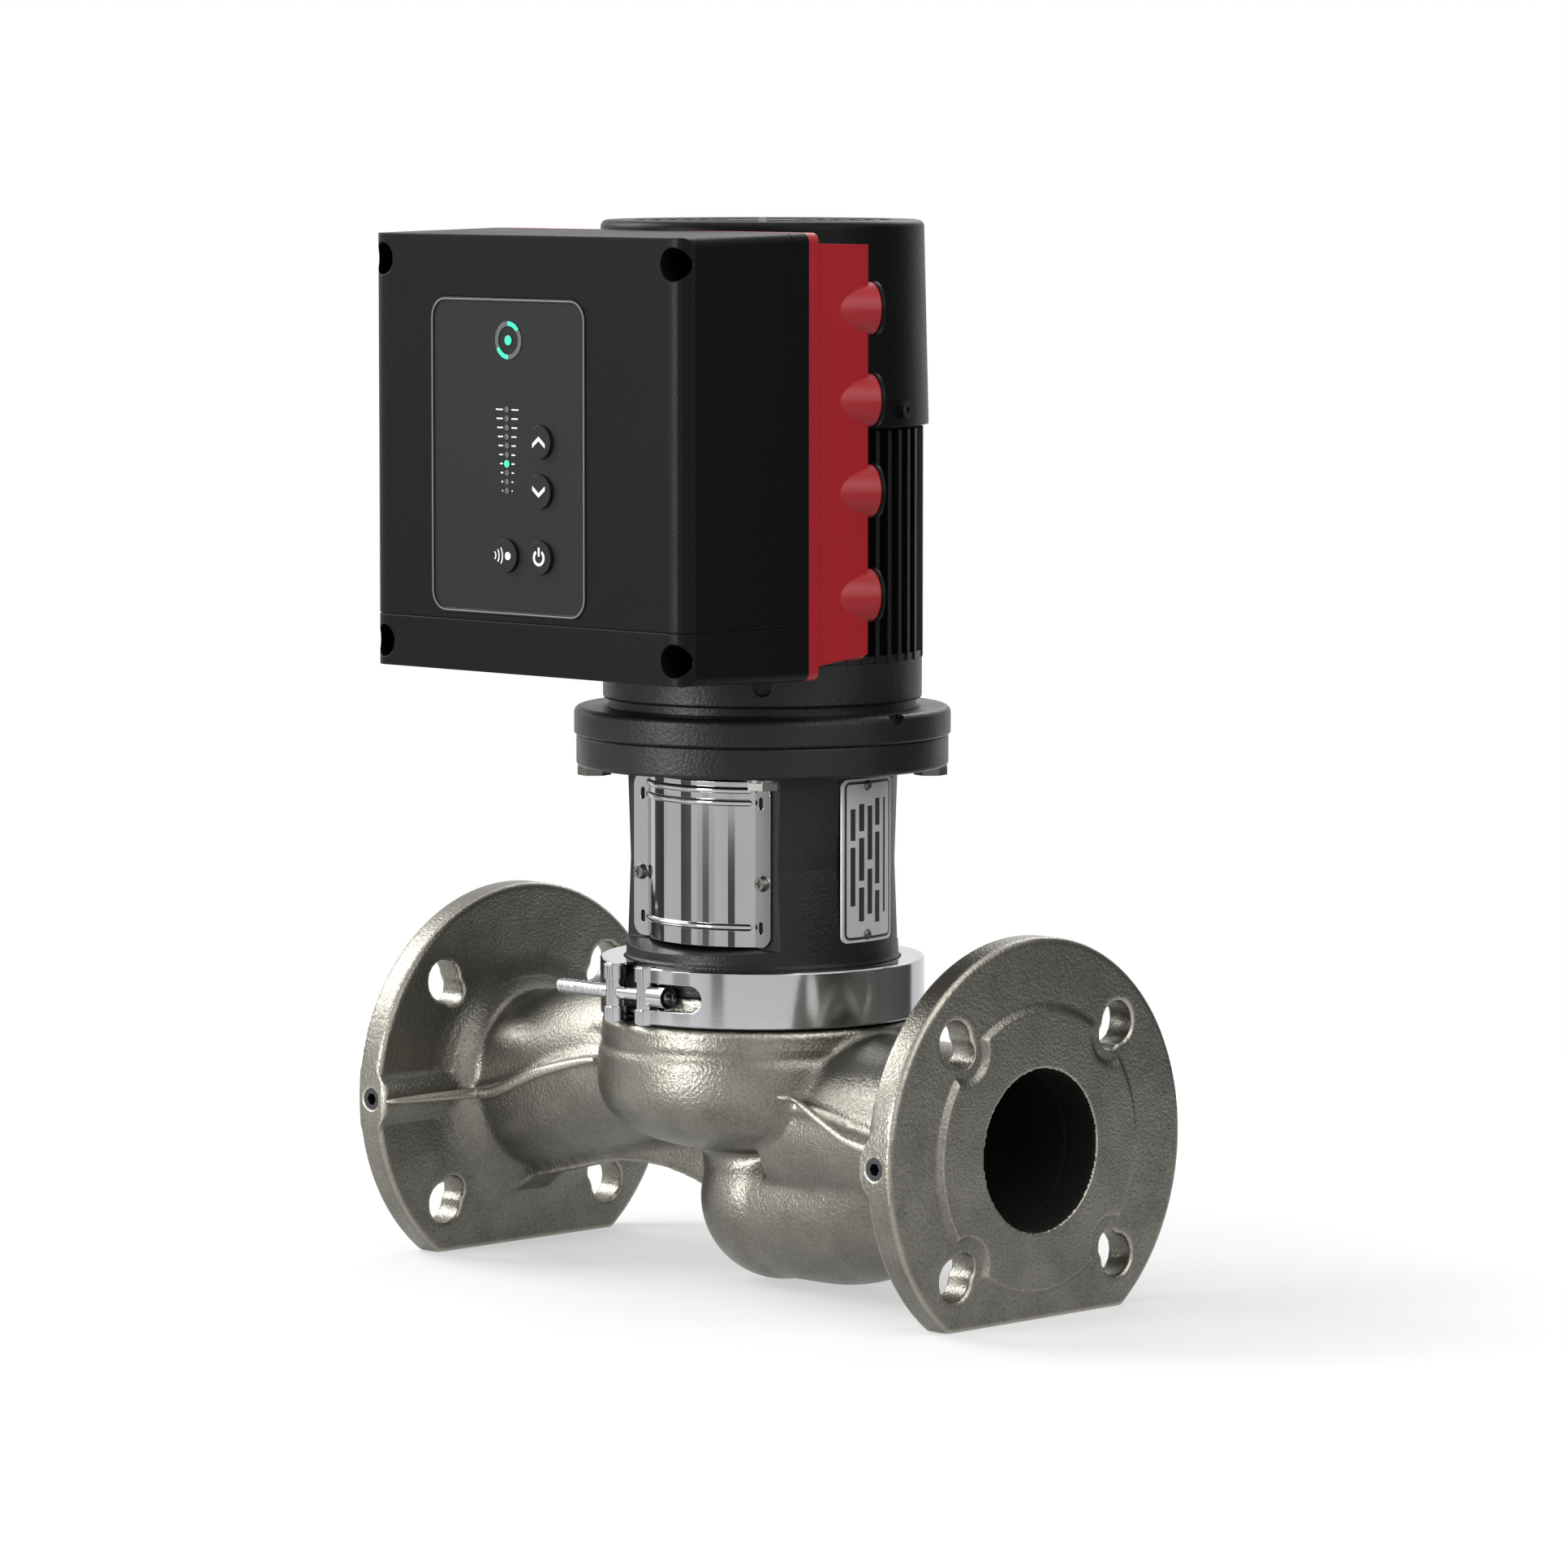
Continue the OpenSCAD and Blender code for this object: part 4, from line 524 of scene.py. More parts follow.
def ribbon(mesh: bmesh.types.BMesh, path: Sequence[tuple[float, float]], width: float,
           to_place: Callable[[float, float, float], Vector], thickness: float,
           closed: bool = False) -> None:
    """Adds a thin raised line that follows a path on a surface.

    Args:
        mesh: Geometry that takes the line.
        path: Points of the middle of the line on the surface, in millimetres.
        width: Width of the line, in millimetres.
        to_place: Takes right, up and outward in millimetres to the frame.
        thickness: Height of the line over its surface, in millimetres.
        closed: True where the line's end meets its start.
    """
    count = len(path)
    sections = []
    for i, (u, v) in enumerate(path):
        before = path[i - 1] if closed or i else path[0]
        after = path[(i + 1) % count] if closed or i < count - 1 else path[-1]
        du, dv = after[0] - before[0], after[1] - before[1]
        length = math.hypot(du, dv)
        side = (-dv / length * width / 2, du / length * width / 2)
        sections.append([mesh.verts.new(to_place(u + k * side[0], v + k * side[1], h))
                         for k, h in ((-1, 0.0), (1, 0.0), (1, thickness), (-1, thickness))])
    for i in range(count if closed else count - 1):
        near, far = sections[i], sections[(i + 1) % count]
        for j in range(4):
            k = (j + 1) % 4
            mesh.faces.new((near[j], near[k], far[k], far[j]))
    if not closed:
        mesh.faces.new(sections[0][::-1])
        mesh.faces.new(sections[-1])


def rounded_path(width: float, height: float, radius: float, steps: int = 6
                 ) -> list[tuple[float, float]]:
    """Closed outline of a rounded rectangle round the origin.

    Args:
        width: Full width, in millimetres.
        height: Full height, in millimetres.
        radius: Radius of the corners, in millimetres.
        steps: Facets of each corner.

    Returns:
        Points of the outline, in order.
    """
    points = []
    for corner, (sx, sy) in enumerate(((1, 1), (-1, 1), (-1, -1), (1, -1))):
        for i in range(steps + 1):
            a = math.radians(90 * corner + 90 * i / steps)
            points.append((sx * (width / 2 - radius) + radius * math.cos(a),
                           sy * (height / 2 - radius) + radius * math.sin(a)))
    return points


def dense(path: Sequence[tuple[float, float]], step: float) -> list[tuple[float, float]]:
    """Adds points to a closed path, so that it can follow a curved surface.

    Args:
        path: Points of the closed path, in millimetres.
        step: Longest distance between two points, in millimetres.

    Returns:
        The path with its added points.
    """
    points = []
    for (u, v), (next_u, next_v) in zip(path, [*path[1:], path[0]]):
        parts = max(1, math.ceil(math.hypot(next_u - u, next_v - v) / step))
        points += [(u + (next_u - u) * i / parts, v + (next_v - v) * i / parts)
                   for i in range(parts)]
    return points


class ShapeTree:
    """A Geometry Nodes tree with named sizes that runs once and leaves a plain mesh."""

    def __init__(self, name: str, sizes: dict[str, float | int]) -> None:
        """Starts the tree.

        Args:
            name: Name of the tree and of its piece.
            sizes: Value of each named input, whole numbers for counts.
        """
        self.name = name
        self.sizes = sizes
        self.tree = bpy.data.node_groups.new(name, "GeometryNodeTree")
        self.tree.interface.new_socket("Path", in_out="INPUT", socket_type="NodeSocketGeometry")
        for size, value in sizes.items():
            kind = "NodeSocketInt" if isinstance(value, int) else "NodeSocketFloat"
            self.tree.interface.new_socket(size, in_out="INPUT", socket_type=kind)
        self.tree.interface.new_socket("Shape", in_out="OUTPUT", socket_type="NodeSocketGeometry")
        self.given = self.tree.nodes.new("NodeGroupInput").outputs

    def add(self, kind: str, links: dict | None = None, **settings: object
            ) -> bpy.types.bpy_prop_collection:
        """Adds a node of the tree and returns its outputs."""
        return add_node(self.tree, kind, links, **settings).outputs

    def math(self, operation: str, first: object, second: object) -> bpy.types.NodeSocket:
        """Adds a sum, product or quotient of two values."""
        return self.add("ShaderNodeMath", {0: first, 1: second}, operation=operation)[0]

    def piece(self, shape: bpy.types.NodeSocket, finish: Finish,
              path: bpy.types.Mesh | None = None) -> bpy.types.Object:
        """Runs the tree and turns its shape to a plain object.

        Args:
            shape: Output that holds the finished shape.
            finish: Finish that the tree sets.
            path: Mesh that the shape follows, where it follows one.

        Returns:
            The object, at the origin.
        """
        solid = self.add("GeometryNodeRealizeInstances", {0: shape})[0]
        painted = self.add("GeometryNodeSetMaterial", {
            "Geometry": solid, "Material": finish.material()})[0]
        add_node(self.tree, "NodeGroupOutput", {0: painted})
        holder = new_object(self.name, path or bpy.data.meshes.new(self.name))
        modifier = holder.modifiers.new("shape", "NODES")
        modifier.node_group = self.tree
        for socket in self.tree.interface.items_tree:
            if socket.item_type == "SOCKET" and socket.in_out == "INPUT" and socket.name in self.sizes:
                modifier[socket.identifier] = self.sizes[socket.name]
        made = settled_mesh(holder)
        bpy.data.objects.remove(holder)
        mesh = bmesh.new()
        mesh.from_mesh(made)
        bmesh.ops.remove_doubles(mesh, verts=mesh.verts, dist=0.001 * MM)
        return new_piece(self.name, mesh)


CASTING_NODES = ("pump_housing", "inlet_port", "outlet_port")


@dataclass
class Casting:
    """The cast housing with the soft corners and mould lines of a real casting.

    Attributes:
        voxel_mm: Width of the cells that blend the solid's corners.
        passes: Rounds of smoothing where the skin is as cast.
        disc_voxel_mm: The same for the flange discs.
        disc_passes: Rounds of smoothing of the flange discs.
        disc_from_x: Distance from the shaft where a flange disc starts.
        core_to_x: Distance from the shaft where the blended middle ends.
        flange_r: Radius of a flange.
        boss_half_mm: Half height of a tapping boss at the rim.
        lobe_at: Distance of a bolt hole's inner lobe from the pipe axis, along each axis.
        notch_r: Radius of the notch round that lobe in the raised face.
        step_x: Distance from the shaft where the raised face starts.
        step_mm: Height of the raised face.
        machined_x: Distance from the shaft where the machined ends start.
        machined_z: Height where the machined rim starts.
        bore_mm: Radius that holds the turned bore of a port.
        bore_from_x: Distance from the shaft where that bore starts.
        rim_to_x: Distance from the shaft that holds the machined rim.
        rib_mm: Half width of the raised mould lines.
        groove_z: Height of the shallow groove under the rim of the bowl.
        groove_mm: Half height of that groove.
        groove_deep: Depth of that groove.
        groove_from_mm: Distance from the shaft where the groove is pressed.
        groove_to_x: Distance along the pipe where the groove ends.
        soft_above_mm: Height over the machined rim in which the smoothing fades out.
        sunk_mm: Depth of the middle of a mould line under the skin.
        rib_steps: Sections along a mould line.
        rib_facets: Facets round a mould line.
        rib_taper: Power by which the ends of a mould line thin out.
        plug_inset_mm: Distance of a plug's middle from the end of the plugs' box.
        seal_mm: Radius of the seal round a plug.
        seal_line_mm: Width of that seal.
        seal_proud_mm: Height of that seal over the boss.
    """

    voxel_mm: float = 1.75
    passes: int = 7
    disc_voxel_mm: float = 0.95
    disc_passes: int = 2
    disc_from_x: float = 151.2
    core_to_x: float = 153.9
    flange_r: float = 92.5
    boss_half_mm: float = 24.0
    lobe_at: float = 45.96
    notch_r: float = 11.5
    step_x: float = 168.0
    step_mm: float = 2.0
    machined_x: float = 153.0
    machined_z: float = 37.0
    bore_mm: float = 37.0
    bore_from_x: float = 96.0
    rim_to_x: float = 78.0
    rib_mm: float = 2.6
    groove_z: float = 33.5
    groove_mm: float = 2.6
    groove_deep: float = 1.3
    groove_from_mm: float = 66.0
    groove_to_x: float = 75.0
    soft_above_mm: float = 4.0
    sunk_mm: float = -0.2
    rib_steps: int = 60
    rib_facets: int = 12
    rib_taper: float = 0.35
    plug_inset_mm: float = 4.9
    seal_mm: float = 4.4
    seal_line_mm: float = 1.2
    seal_proud_mm: float = 0.2

    def build(self) -> None:
        """Builds the softened casting, its mould lines and the rings of its plugs."""
        self._skin()
        self._ribs()
        self._plug_rings()

    def _softness(self, point: Vector) -> float:
        """Tells how much a point of the skin is smoothed, from 0 to 1."""
        x = abs(point.x - SHAFT_X) / MM
        z = point.z / MM
        if math.hypot(point.y, point.z) / MM < self.bore_mm and x > self.bore_from_x:
            return 0.0
        along = min(1.0, max(0.0, self.machined_x - 1 - x))
        under = min(1.0, max(0.0, (self.machined_z + self.soft_above_mm - z) / self.soft_above_mm))
        return along * (under if x < self.rim_to_x else 1.0)

    def _skin(self) -> None:
        """Blends the corners of the solid where the real skin is as cast."""
        mesh = bmesh.new()
        for node in CASTING_NODES:
            part = NODES[node].data.copy()
            part.transform(NODES[node].matrix_world)
            part.attributes.remove(part.attributes["custom_normal"])
            mesh.from_mesh(part)
            bpy.data.meshes.remove(part)
        bmesh.ops.remove_doubles(mesh, verts=mesh.verts, dist=0.002 * MM)
        self._drop_inner_walls(mesh)
        flanges = [self._cut(mesh.copy(), side, self.disc_from_x, 1) for side in (-1, 1)]
        core = self._cut(self._cut(mesh, 1, self.core_to_x, -1), -1, self.core_to_x, -1)
        skin = new_piece("pump_casting", core)
        self._soften(skin, self.voxel_mm, self.passes, self._softness)
        self._shoulder(skin.data)
        self._stay_inside(skin.data)
        keep_piece(skin, CAST_STAINLESS, Body.PUMP, CASTING_NODES)
        self._paint_passage_shade(skin, True)
        self.skin = skin
        for flange, name in zip(flanges, ("outlet_flange_disc", "inlet_flange_disc")):
            disc = new_piece(name, flange)
            self._soften(disc, self.disc_voxel_mm, 0, None)
            self._cut_notches(disc.data)
            self._soften(disc, 0.0, self.disc_passes, None)
            self._stay_inside(disc.data)
            keep_piece(disc, CAST_STAINLESS, Body.PUMP)
            self._paint_passage_shade(disc, False)

    def _soften(self, obj: bpy.types.Object, voxel_mm: float, passes: int,
                share: Callable[[Vector], float] | None) -> None:
        """Blends the corners of a solid in small cells and smooths its skin.

        Args:
            obj: Piece that is softened.
            voxel_mm: Width of a cell, or nought to leave the mesh as it is.
            passes: Rounds of smoothing.
            share: Share of the smoothing that a point takes, or nothing for all of it.
        """
        if voxel_mm:
            cells = obj.modifiers.new("cells", "REMESH")
            cells.mode = "VOXEL"
            cells.voxel_size = voxel_mm * MM
            cells.use_smooth_shade = True
            self._settle(obj)
        if passes:
            soft = obj.modifiers.new("soft", "SMOOTH")
            soft.factor = 0.5
            soft.iterations = passes
            if share:
                group = obj.vertex_groups.new(name="as_cast")
                for vertex in obj.data.vertices:
                    group.add([vertex.index], share(vertex.co), "REPLACE")
                soft.vertex_group = group.name
            self._settle(obj)

    def _stay_inside(self, data: bpy.types.Mesh) -> None:
        """Holds a skin inside the box of the solids and lays the tapping bosses flush."""
        corners = [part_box(node) for node in CASTING_NODES]
        low = [min(box[0][i] for box in corners) for i in range(3)]
        high = [max(box[1][i] for box in corners) for i in range(3)]
        rim = self.flange_r * MM
        for vertex in data.vertices:
            reach = math.hypot(vertex.co.y, vertex.co.z)
            if vertex.co.y < 0 and reach > rim and abs(vertex.co.z) < self.boss_half_mm * MM:
                vertex.co.y *= rim / reach
                vertex.co.z *= rim / reach
            vertex.co = [min(max(vertex.co[i], low[i]), high[i]) for i in range(3)]

    def _cut_notches(self, data: bpy.types.Mesh) -> None:
        """Sinks the raised face round the inner lobes of the bolt holes."""
        for vertex in data.vertices:
            along = abs(vertex.co.x - SHAFT_X) / MM
            off = math.hypot(abs(vertex.co.y) / MM - self.lobe_at, abs(vertex.co.z) / MM - self.lobe_at)
            if along > self.step_x and off < self.notch_r + self.step_mm:
                rise = min(self.step_mm, max(0.0, off - self.notch_r))
                along = min(along, self.step_x + rise)
                vertex.co.x = SHAFT_X + math.copysign(along * MM, vertex.co.x - SHAFT_X)

    def _paint_passage_shade(self, obj: bpy.types.Object, spread: bool) -> None:
        """Paints shade on the skin inside the ports and passages with a darker finish.

        Args:
            obj: Piece of the casting.
            spread: True where the passage goes on from the port into the casting.
        """
        mesh = bmesh.new()
        mesh.from_mesh(obj.data)
        shaded_faces = {face for face in mesh.faces if self._in_port(face)}
        queue = list(shaded_faces) if spread else []
        while queue:
            for edge in queue.pop().edges:
                for near in edge.link_faces:
                    middle = near.calc_center_median()
                    along = abs(middle.x - SHAFT_X) / MM
                    if near not in shaded_faces and middle.z < self.machined_z * MM and along < self.machined_x:
                        shaded_faces.add(near)
                        queue.append(near)
        # These faces take the painted shade of the passages
        for face in shaded_faces:
            face.material_index = 1
        mesh.to_mesh(obj.data)
        mesh.free()
        obj.data.materials.append(PASSAGE_SHADE.material())

    def _in_port(self, face: bmesh.types.BMFace) -> bool:
        """Tells whether a face lies on the turned bore of a port."""
        middle, normal = face.calc_center_median(), face.normal
        inward = normal.y * middle.y + normal.z * middle.z < 0 and abs(normal.x) < 0.5
        reach, along = math.hypot(middle.y, middle.z) / MM, abs(middle.x - SHAFT_X) / MM
        return inward and reach < self.bore_mm and along > self.bore_from_x

    def _cut(self, mesh: bmesh.types.BMesh, side: int, distance: float, keep: int
             ) -> bmesh.types.BMesh:
        """Cuts a closed mesh across the pipe axis and caps the cut.

        Args:
            mesh: Geometry that is cut.
            side: 1 for the inlet's side of the shaft and -1 for the outlet's.
            distance: Distance of the cut from the shaft, in millimetres.
            keep: 1 keeps what lies beyond the cut and -1 keeps the rest.

        Returns:
            The same mesh.
        """
        geometry = mesh.verts[:] + mesh.edges[:] + mesh.faces[:]
        cut = bmesh.ops.bisect_plane(
            mesh, geom=geometry, plane_co=(SHAFT_X + side * distance * MM, 0, 0),
            plane_no=(side, 0, 0), clear_inner=keep > 0, clear_outer=keep < 0)
        rim = [part for part in cut["geom_cut"] if isinstance(part, bmesh.types.BMEdge)]
        bmesh.ops.triangle_fill(mesh, edges=rim, use_beauty=True)
        return mesh

    def _drop_inner_walls(self, mesh: bmesh.types.BMesh) -> None:
        """Takes out the flat faces by which the port ends meet the middle."""
        cuts = (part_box("inlet_port")[0].x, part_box("outlet_port")[1].x)
        walls = [face for face in mesh.faces for cut in cuts
                 if all(abs(vertex.co.x - cut) < 0.01 * MM for vertex in face.verts)]
        bmesh.ops.delete(mesh, geom=walls, context="FACES_ONLY")

    def _shoulder(self, data: bpy.types.Mesh) -> None:
        """Presses the shallow groove under the rim of the bowl."""
        for vertex in data.vertices:
            x, y = vertex.co.x - SHAFT_X, vertex.co.y
            reach = math.hypot(x, y) / MM
            off = (vertex.co.z / MM - self.groove_z) / self.groove_mm
            if reach > self.groove_from_mm and abs(x) < self.groove_to_x * MM and abs(off) < 3:
                pull = self.groove_deep * math.exp(-off * off) / reach
                vertex.co.x -= x * pull
                vertex.co.y -= y * pull

    def _settle(self, obj: bpy.types.Object) -> None:
        """Turns the modified shape of an object to its own plain mesh."""
        made = settled_mesh(obj)
        obj.modifiers.clear()
        obj.vertex_groups.clear()
        obj.data = made

    def _ribs(self) -> None:
        """Sweeps the raised mould lines that run from the flanges into the bowl."""
        paths = {
            "discharge_mould_line": [
                (-150, -0.4), (-145, -0.6), (-140, -0.4), (-132, 1.2),
                (-123, 4.6), (-113, 8.8), (-103, 12.6), (-93, 15.6), (-83, 18.2), (-73, 20.6),
                (-64, 22.4)],
            "suction_mould_line": [
                (56, 17.2), (61, 16.2), (68, 13.2), (76, 9.4), (84, 5.2), (93, 1.4), (104, -1.2),
                (116, -2.2), (128, -2.4), (138, -1.8), (147, -0.8), (152, -0.4)],
        }
        for name, points in paths.items():
            line = bpy.data.meshes.new(name)
            line.from_pydata([self._on_skin(x, z) for x, z in points],
                             [(i, i + 1) for i in range(len(points) - 1)], [])
            tree = ShapeTree(name, {"Half width": self.rib_mm * MM, "Steps": self.rib_steps})
            curve = tree.add("GeometryNodeMeshToCurve", {"Mesh": tree.given["Path"]})[0]
            spline = tree.add("GeometryNodeCurveSplineType", {"Curve": curve},
                              spline_type="CATMULL_ROM")[0]
            even = tree.add("GeometryNodeResampleCurve", {
                "Curve": spline, "Count": tree.given["Steps"]})[0]
            along = tree.add("GeometryNodeSplineParameter")[0]
            rise = tree.math("SINE", tree.math("MULTIPLY", along, math.pi), 0.0)
            taper = tree.math("POWER", rise, self.rib_taper)
            thin = tree.add("GeometryNodeSetCurveRadius", {"Curve": even, "Radius": taper})[0]
            round_section = tree.add("GeometryNodeCurvePrimitiveCircle", {
                "Resolution": self.rib_facets, "Radius": tree.given["Half width"]})[0]
            swept = tree.add("GeometryNodeCurveToMesh", {
                "Curve": thin, "Profile Curve": round_section, "Fill Caps": True,
                "Scale": taper})[0]
            rib = tree.piece(swept, CAST_STAINLESS, line)
            for face in rib.data.polygons:
                face.use_smooth = True
            keep_piece(rib, CAST_STAINLESS, Body.PUMP)

    def _on_skin(self, x: float, z: float) -> Vector:
        """Finds the front of the skin at a place across and up, in millimetres."""
        start = Vector((SHAFT_X + x * MM, -0.2, z * MM))
        found, point, _, _ = self.skin.ray_cast(start, Vector((0, 1, 0)))
        return point + Vector((0, self.sunk_mm * MM, 0)) if found else start

    def _plug_rings(self) -> None:
        """Lays the thin black seals round the gauge plugs."""
        low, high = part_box("gauge_plugs")
        boss_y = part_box("pump_housing")[0].y / MM
        mesh = bmesh.new()
        ring = disc_outline(self.seal_mm, 36)
        for x in (low.x / MM + self.plug_inset_mm, high.x / MM - self.plug_inset_mm):
            def on_boss(u: float, v: float, h: float, middle: float = x) -> Vector:
                return Vector(((middle + u) * MM, (boss_y - h + self.seal_proud_mm) * MM, v * MM))
            ribbon(mesh, ring, self.seal_line_mm, on_boss, self.seal_proud_mm, closed=True)
        keep_piece(new_piece("plug_seals", mesh), RUBBER, Body.PUMP)


@dataclass
class ClampJoint:
    """Thread of the clamp screw.

    Attributes:
        pitch_mm: Pitch of the thread, drawn coarser than in life so that it shows.
        shown_mm: Length of the thread that stands out of the barrel.
        root_mm: Radius of the thread's root.
        crest_mm: Height of the thread over its root.
        start_mm: Distance of the first turn from the screw's end.
    """

    pitch_mm: float = 1.6
    shown_mm: float = 28.0
    root_mm: float = 2.95
    crest_mm: float = 0.36
    start_mm: float = 0.6

    def build(self) -> None:
        """Winds the thread round the free end of the clamp screw."""
        _, y, z = box_middle("clamp_screw")
        start_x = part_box("clamp_screw")[0].x + self.start_mm * MM
        tree = ShapeTree("clamp_screw_thread", {
            "Pitch": self.pitch_mm * MM, "Length": self.shown_mm * MM, "Root": self.root_mm * MM,
            "Crest": self.crest_mm * MM, "Per turn": 24})
        turns = tree.math("DIVIDE", tree.given["Length"], tree.given["Pitch"])
        helix = tree.add("GeometryNodeCurveSpiral", {
            "Resolution": tree.given["Per turn"], "Rotations": turns,
            "Start Radius": tree.given["Root"], "End Radius": tree.given["Root"],
            "Height": tree.given["Length"]})[0]
        section = tree.add("GeometryNodeCurvePrimitiveCircle", {
            "Resolution": 4, "Radius": tree.given["Crest"]})[0]
        swept = tree.add("GeometryNodeCurveToMesh", {
            "Curve": helix, "Profile Curve": section, "Fill Caps": True})[0]
        placed = tree.add("GeometryNodeTransform", {
            "Geometry": swept, "Translation": (start_x, y, z),
            "Rotation": (0.0, math.pi / 2, 0.0)})[0]
        keep_piece(tree.piece(placed, POLISHED_STAINLESS), POLISHED_STAINLESS, Body.PUMP)


@dataclass
class Nameplate:
    """Frame lines and plain filled fields of the nameplate, with no lettering.

    Attributes:
        ink_mm: Thickness of the print.
        frame_mm: Distance of the frame from the edge of the plate.
        line_mm: Width of the frame's line.
        corner_mm: Radius of the frame's corners.
        width_mm: Width of the plate, along its curve.
        azimuth: Direction of the plate's middle in degrees, 0 in front and 90 at the inlet.
        fields: Place across, start and end of each filled field, and its width.
    """

    ink_mm: float = 0.08
    frame_mm: float = 1.8
    line_mm: float = 1.2
    corner_mm: float = 2.4
    width_mm: float = 34.8
    azimuth: float = 96.0
    fields: tuple[tuple[float, float, float, float], ...] = (
        (-11.4, -20, 6, 2.8), (-11.4, 9, 23, 2.8), (-6.1, -27, -12, 3.2), (-6.1, -9, 10, 3.2),
        (-6.1, 13, 25, 3.2), (-0.6, -24, -4, 3.2), (-0.6, 0, 24, 3.2), (4.9, -28, -14, 3.4),
        (4.9, -11, 12, 3.4), (4.9, 15, 27, 3.4), (10.6, -24, 27, 1.6))

    def build(self) -> None:
        """Prints the frame and the fields on the curved plate."""
        low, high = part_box("nameplate")
        middle_z = box_middle("nameplate")[2] / MM
        radius = (high.x - SHAFT_X) / MM
        width = self.width_mm - 2 * self.frame_mm
        height = (high.z - low.z) / MM - 2 * self.frame_mm

        def on_plate(u: float, v: float, h: float) -> Vector:
            turn = math.radians(self.azimuth) + u / radius
            reach = (radius + h - 0.02) * MM
            return Vector((SHAFT_X + reach * math.sin(turn), -reach * math.cos(turn),
                           (middle_z + v) * MM))

        mesh = bmesh.new()
        path = dense(rounded_path(width, height, self.corner_mm), 2.0)
        ribbon(mesh, path, self.line_mm, on_plate, self.ink_mm, closed=True)
        for u, start, end, field_width in self.fields:
            ribbon(mesh, [(u, start), (u, end)], field_width, on_plate, self.ink_mm)
        keep_piece(new_piece("nameplate_print", mesh), PLATE_INK, Body.PUMP)


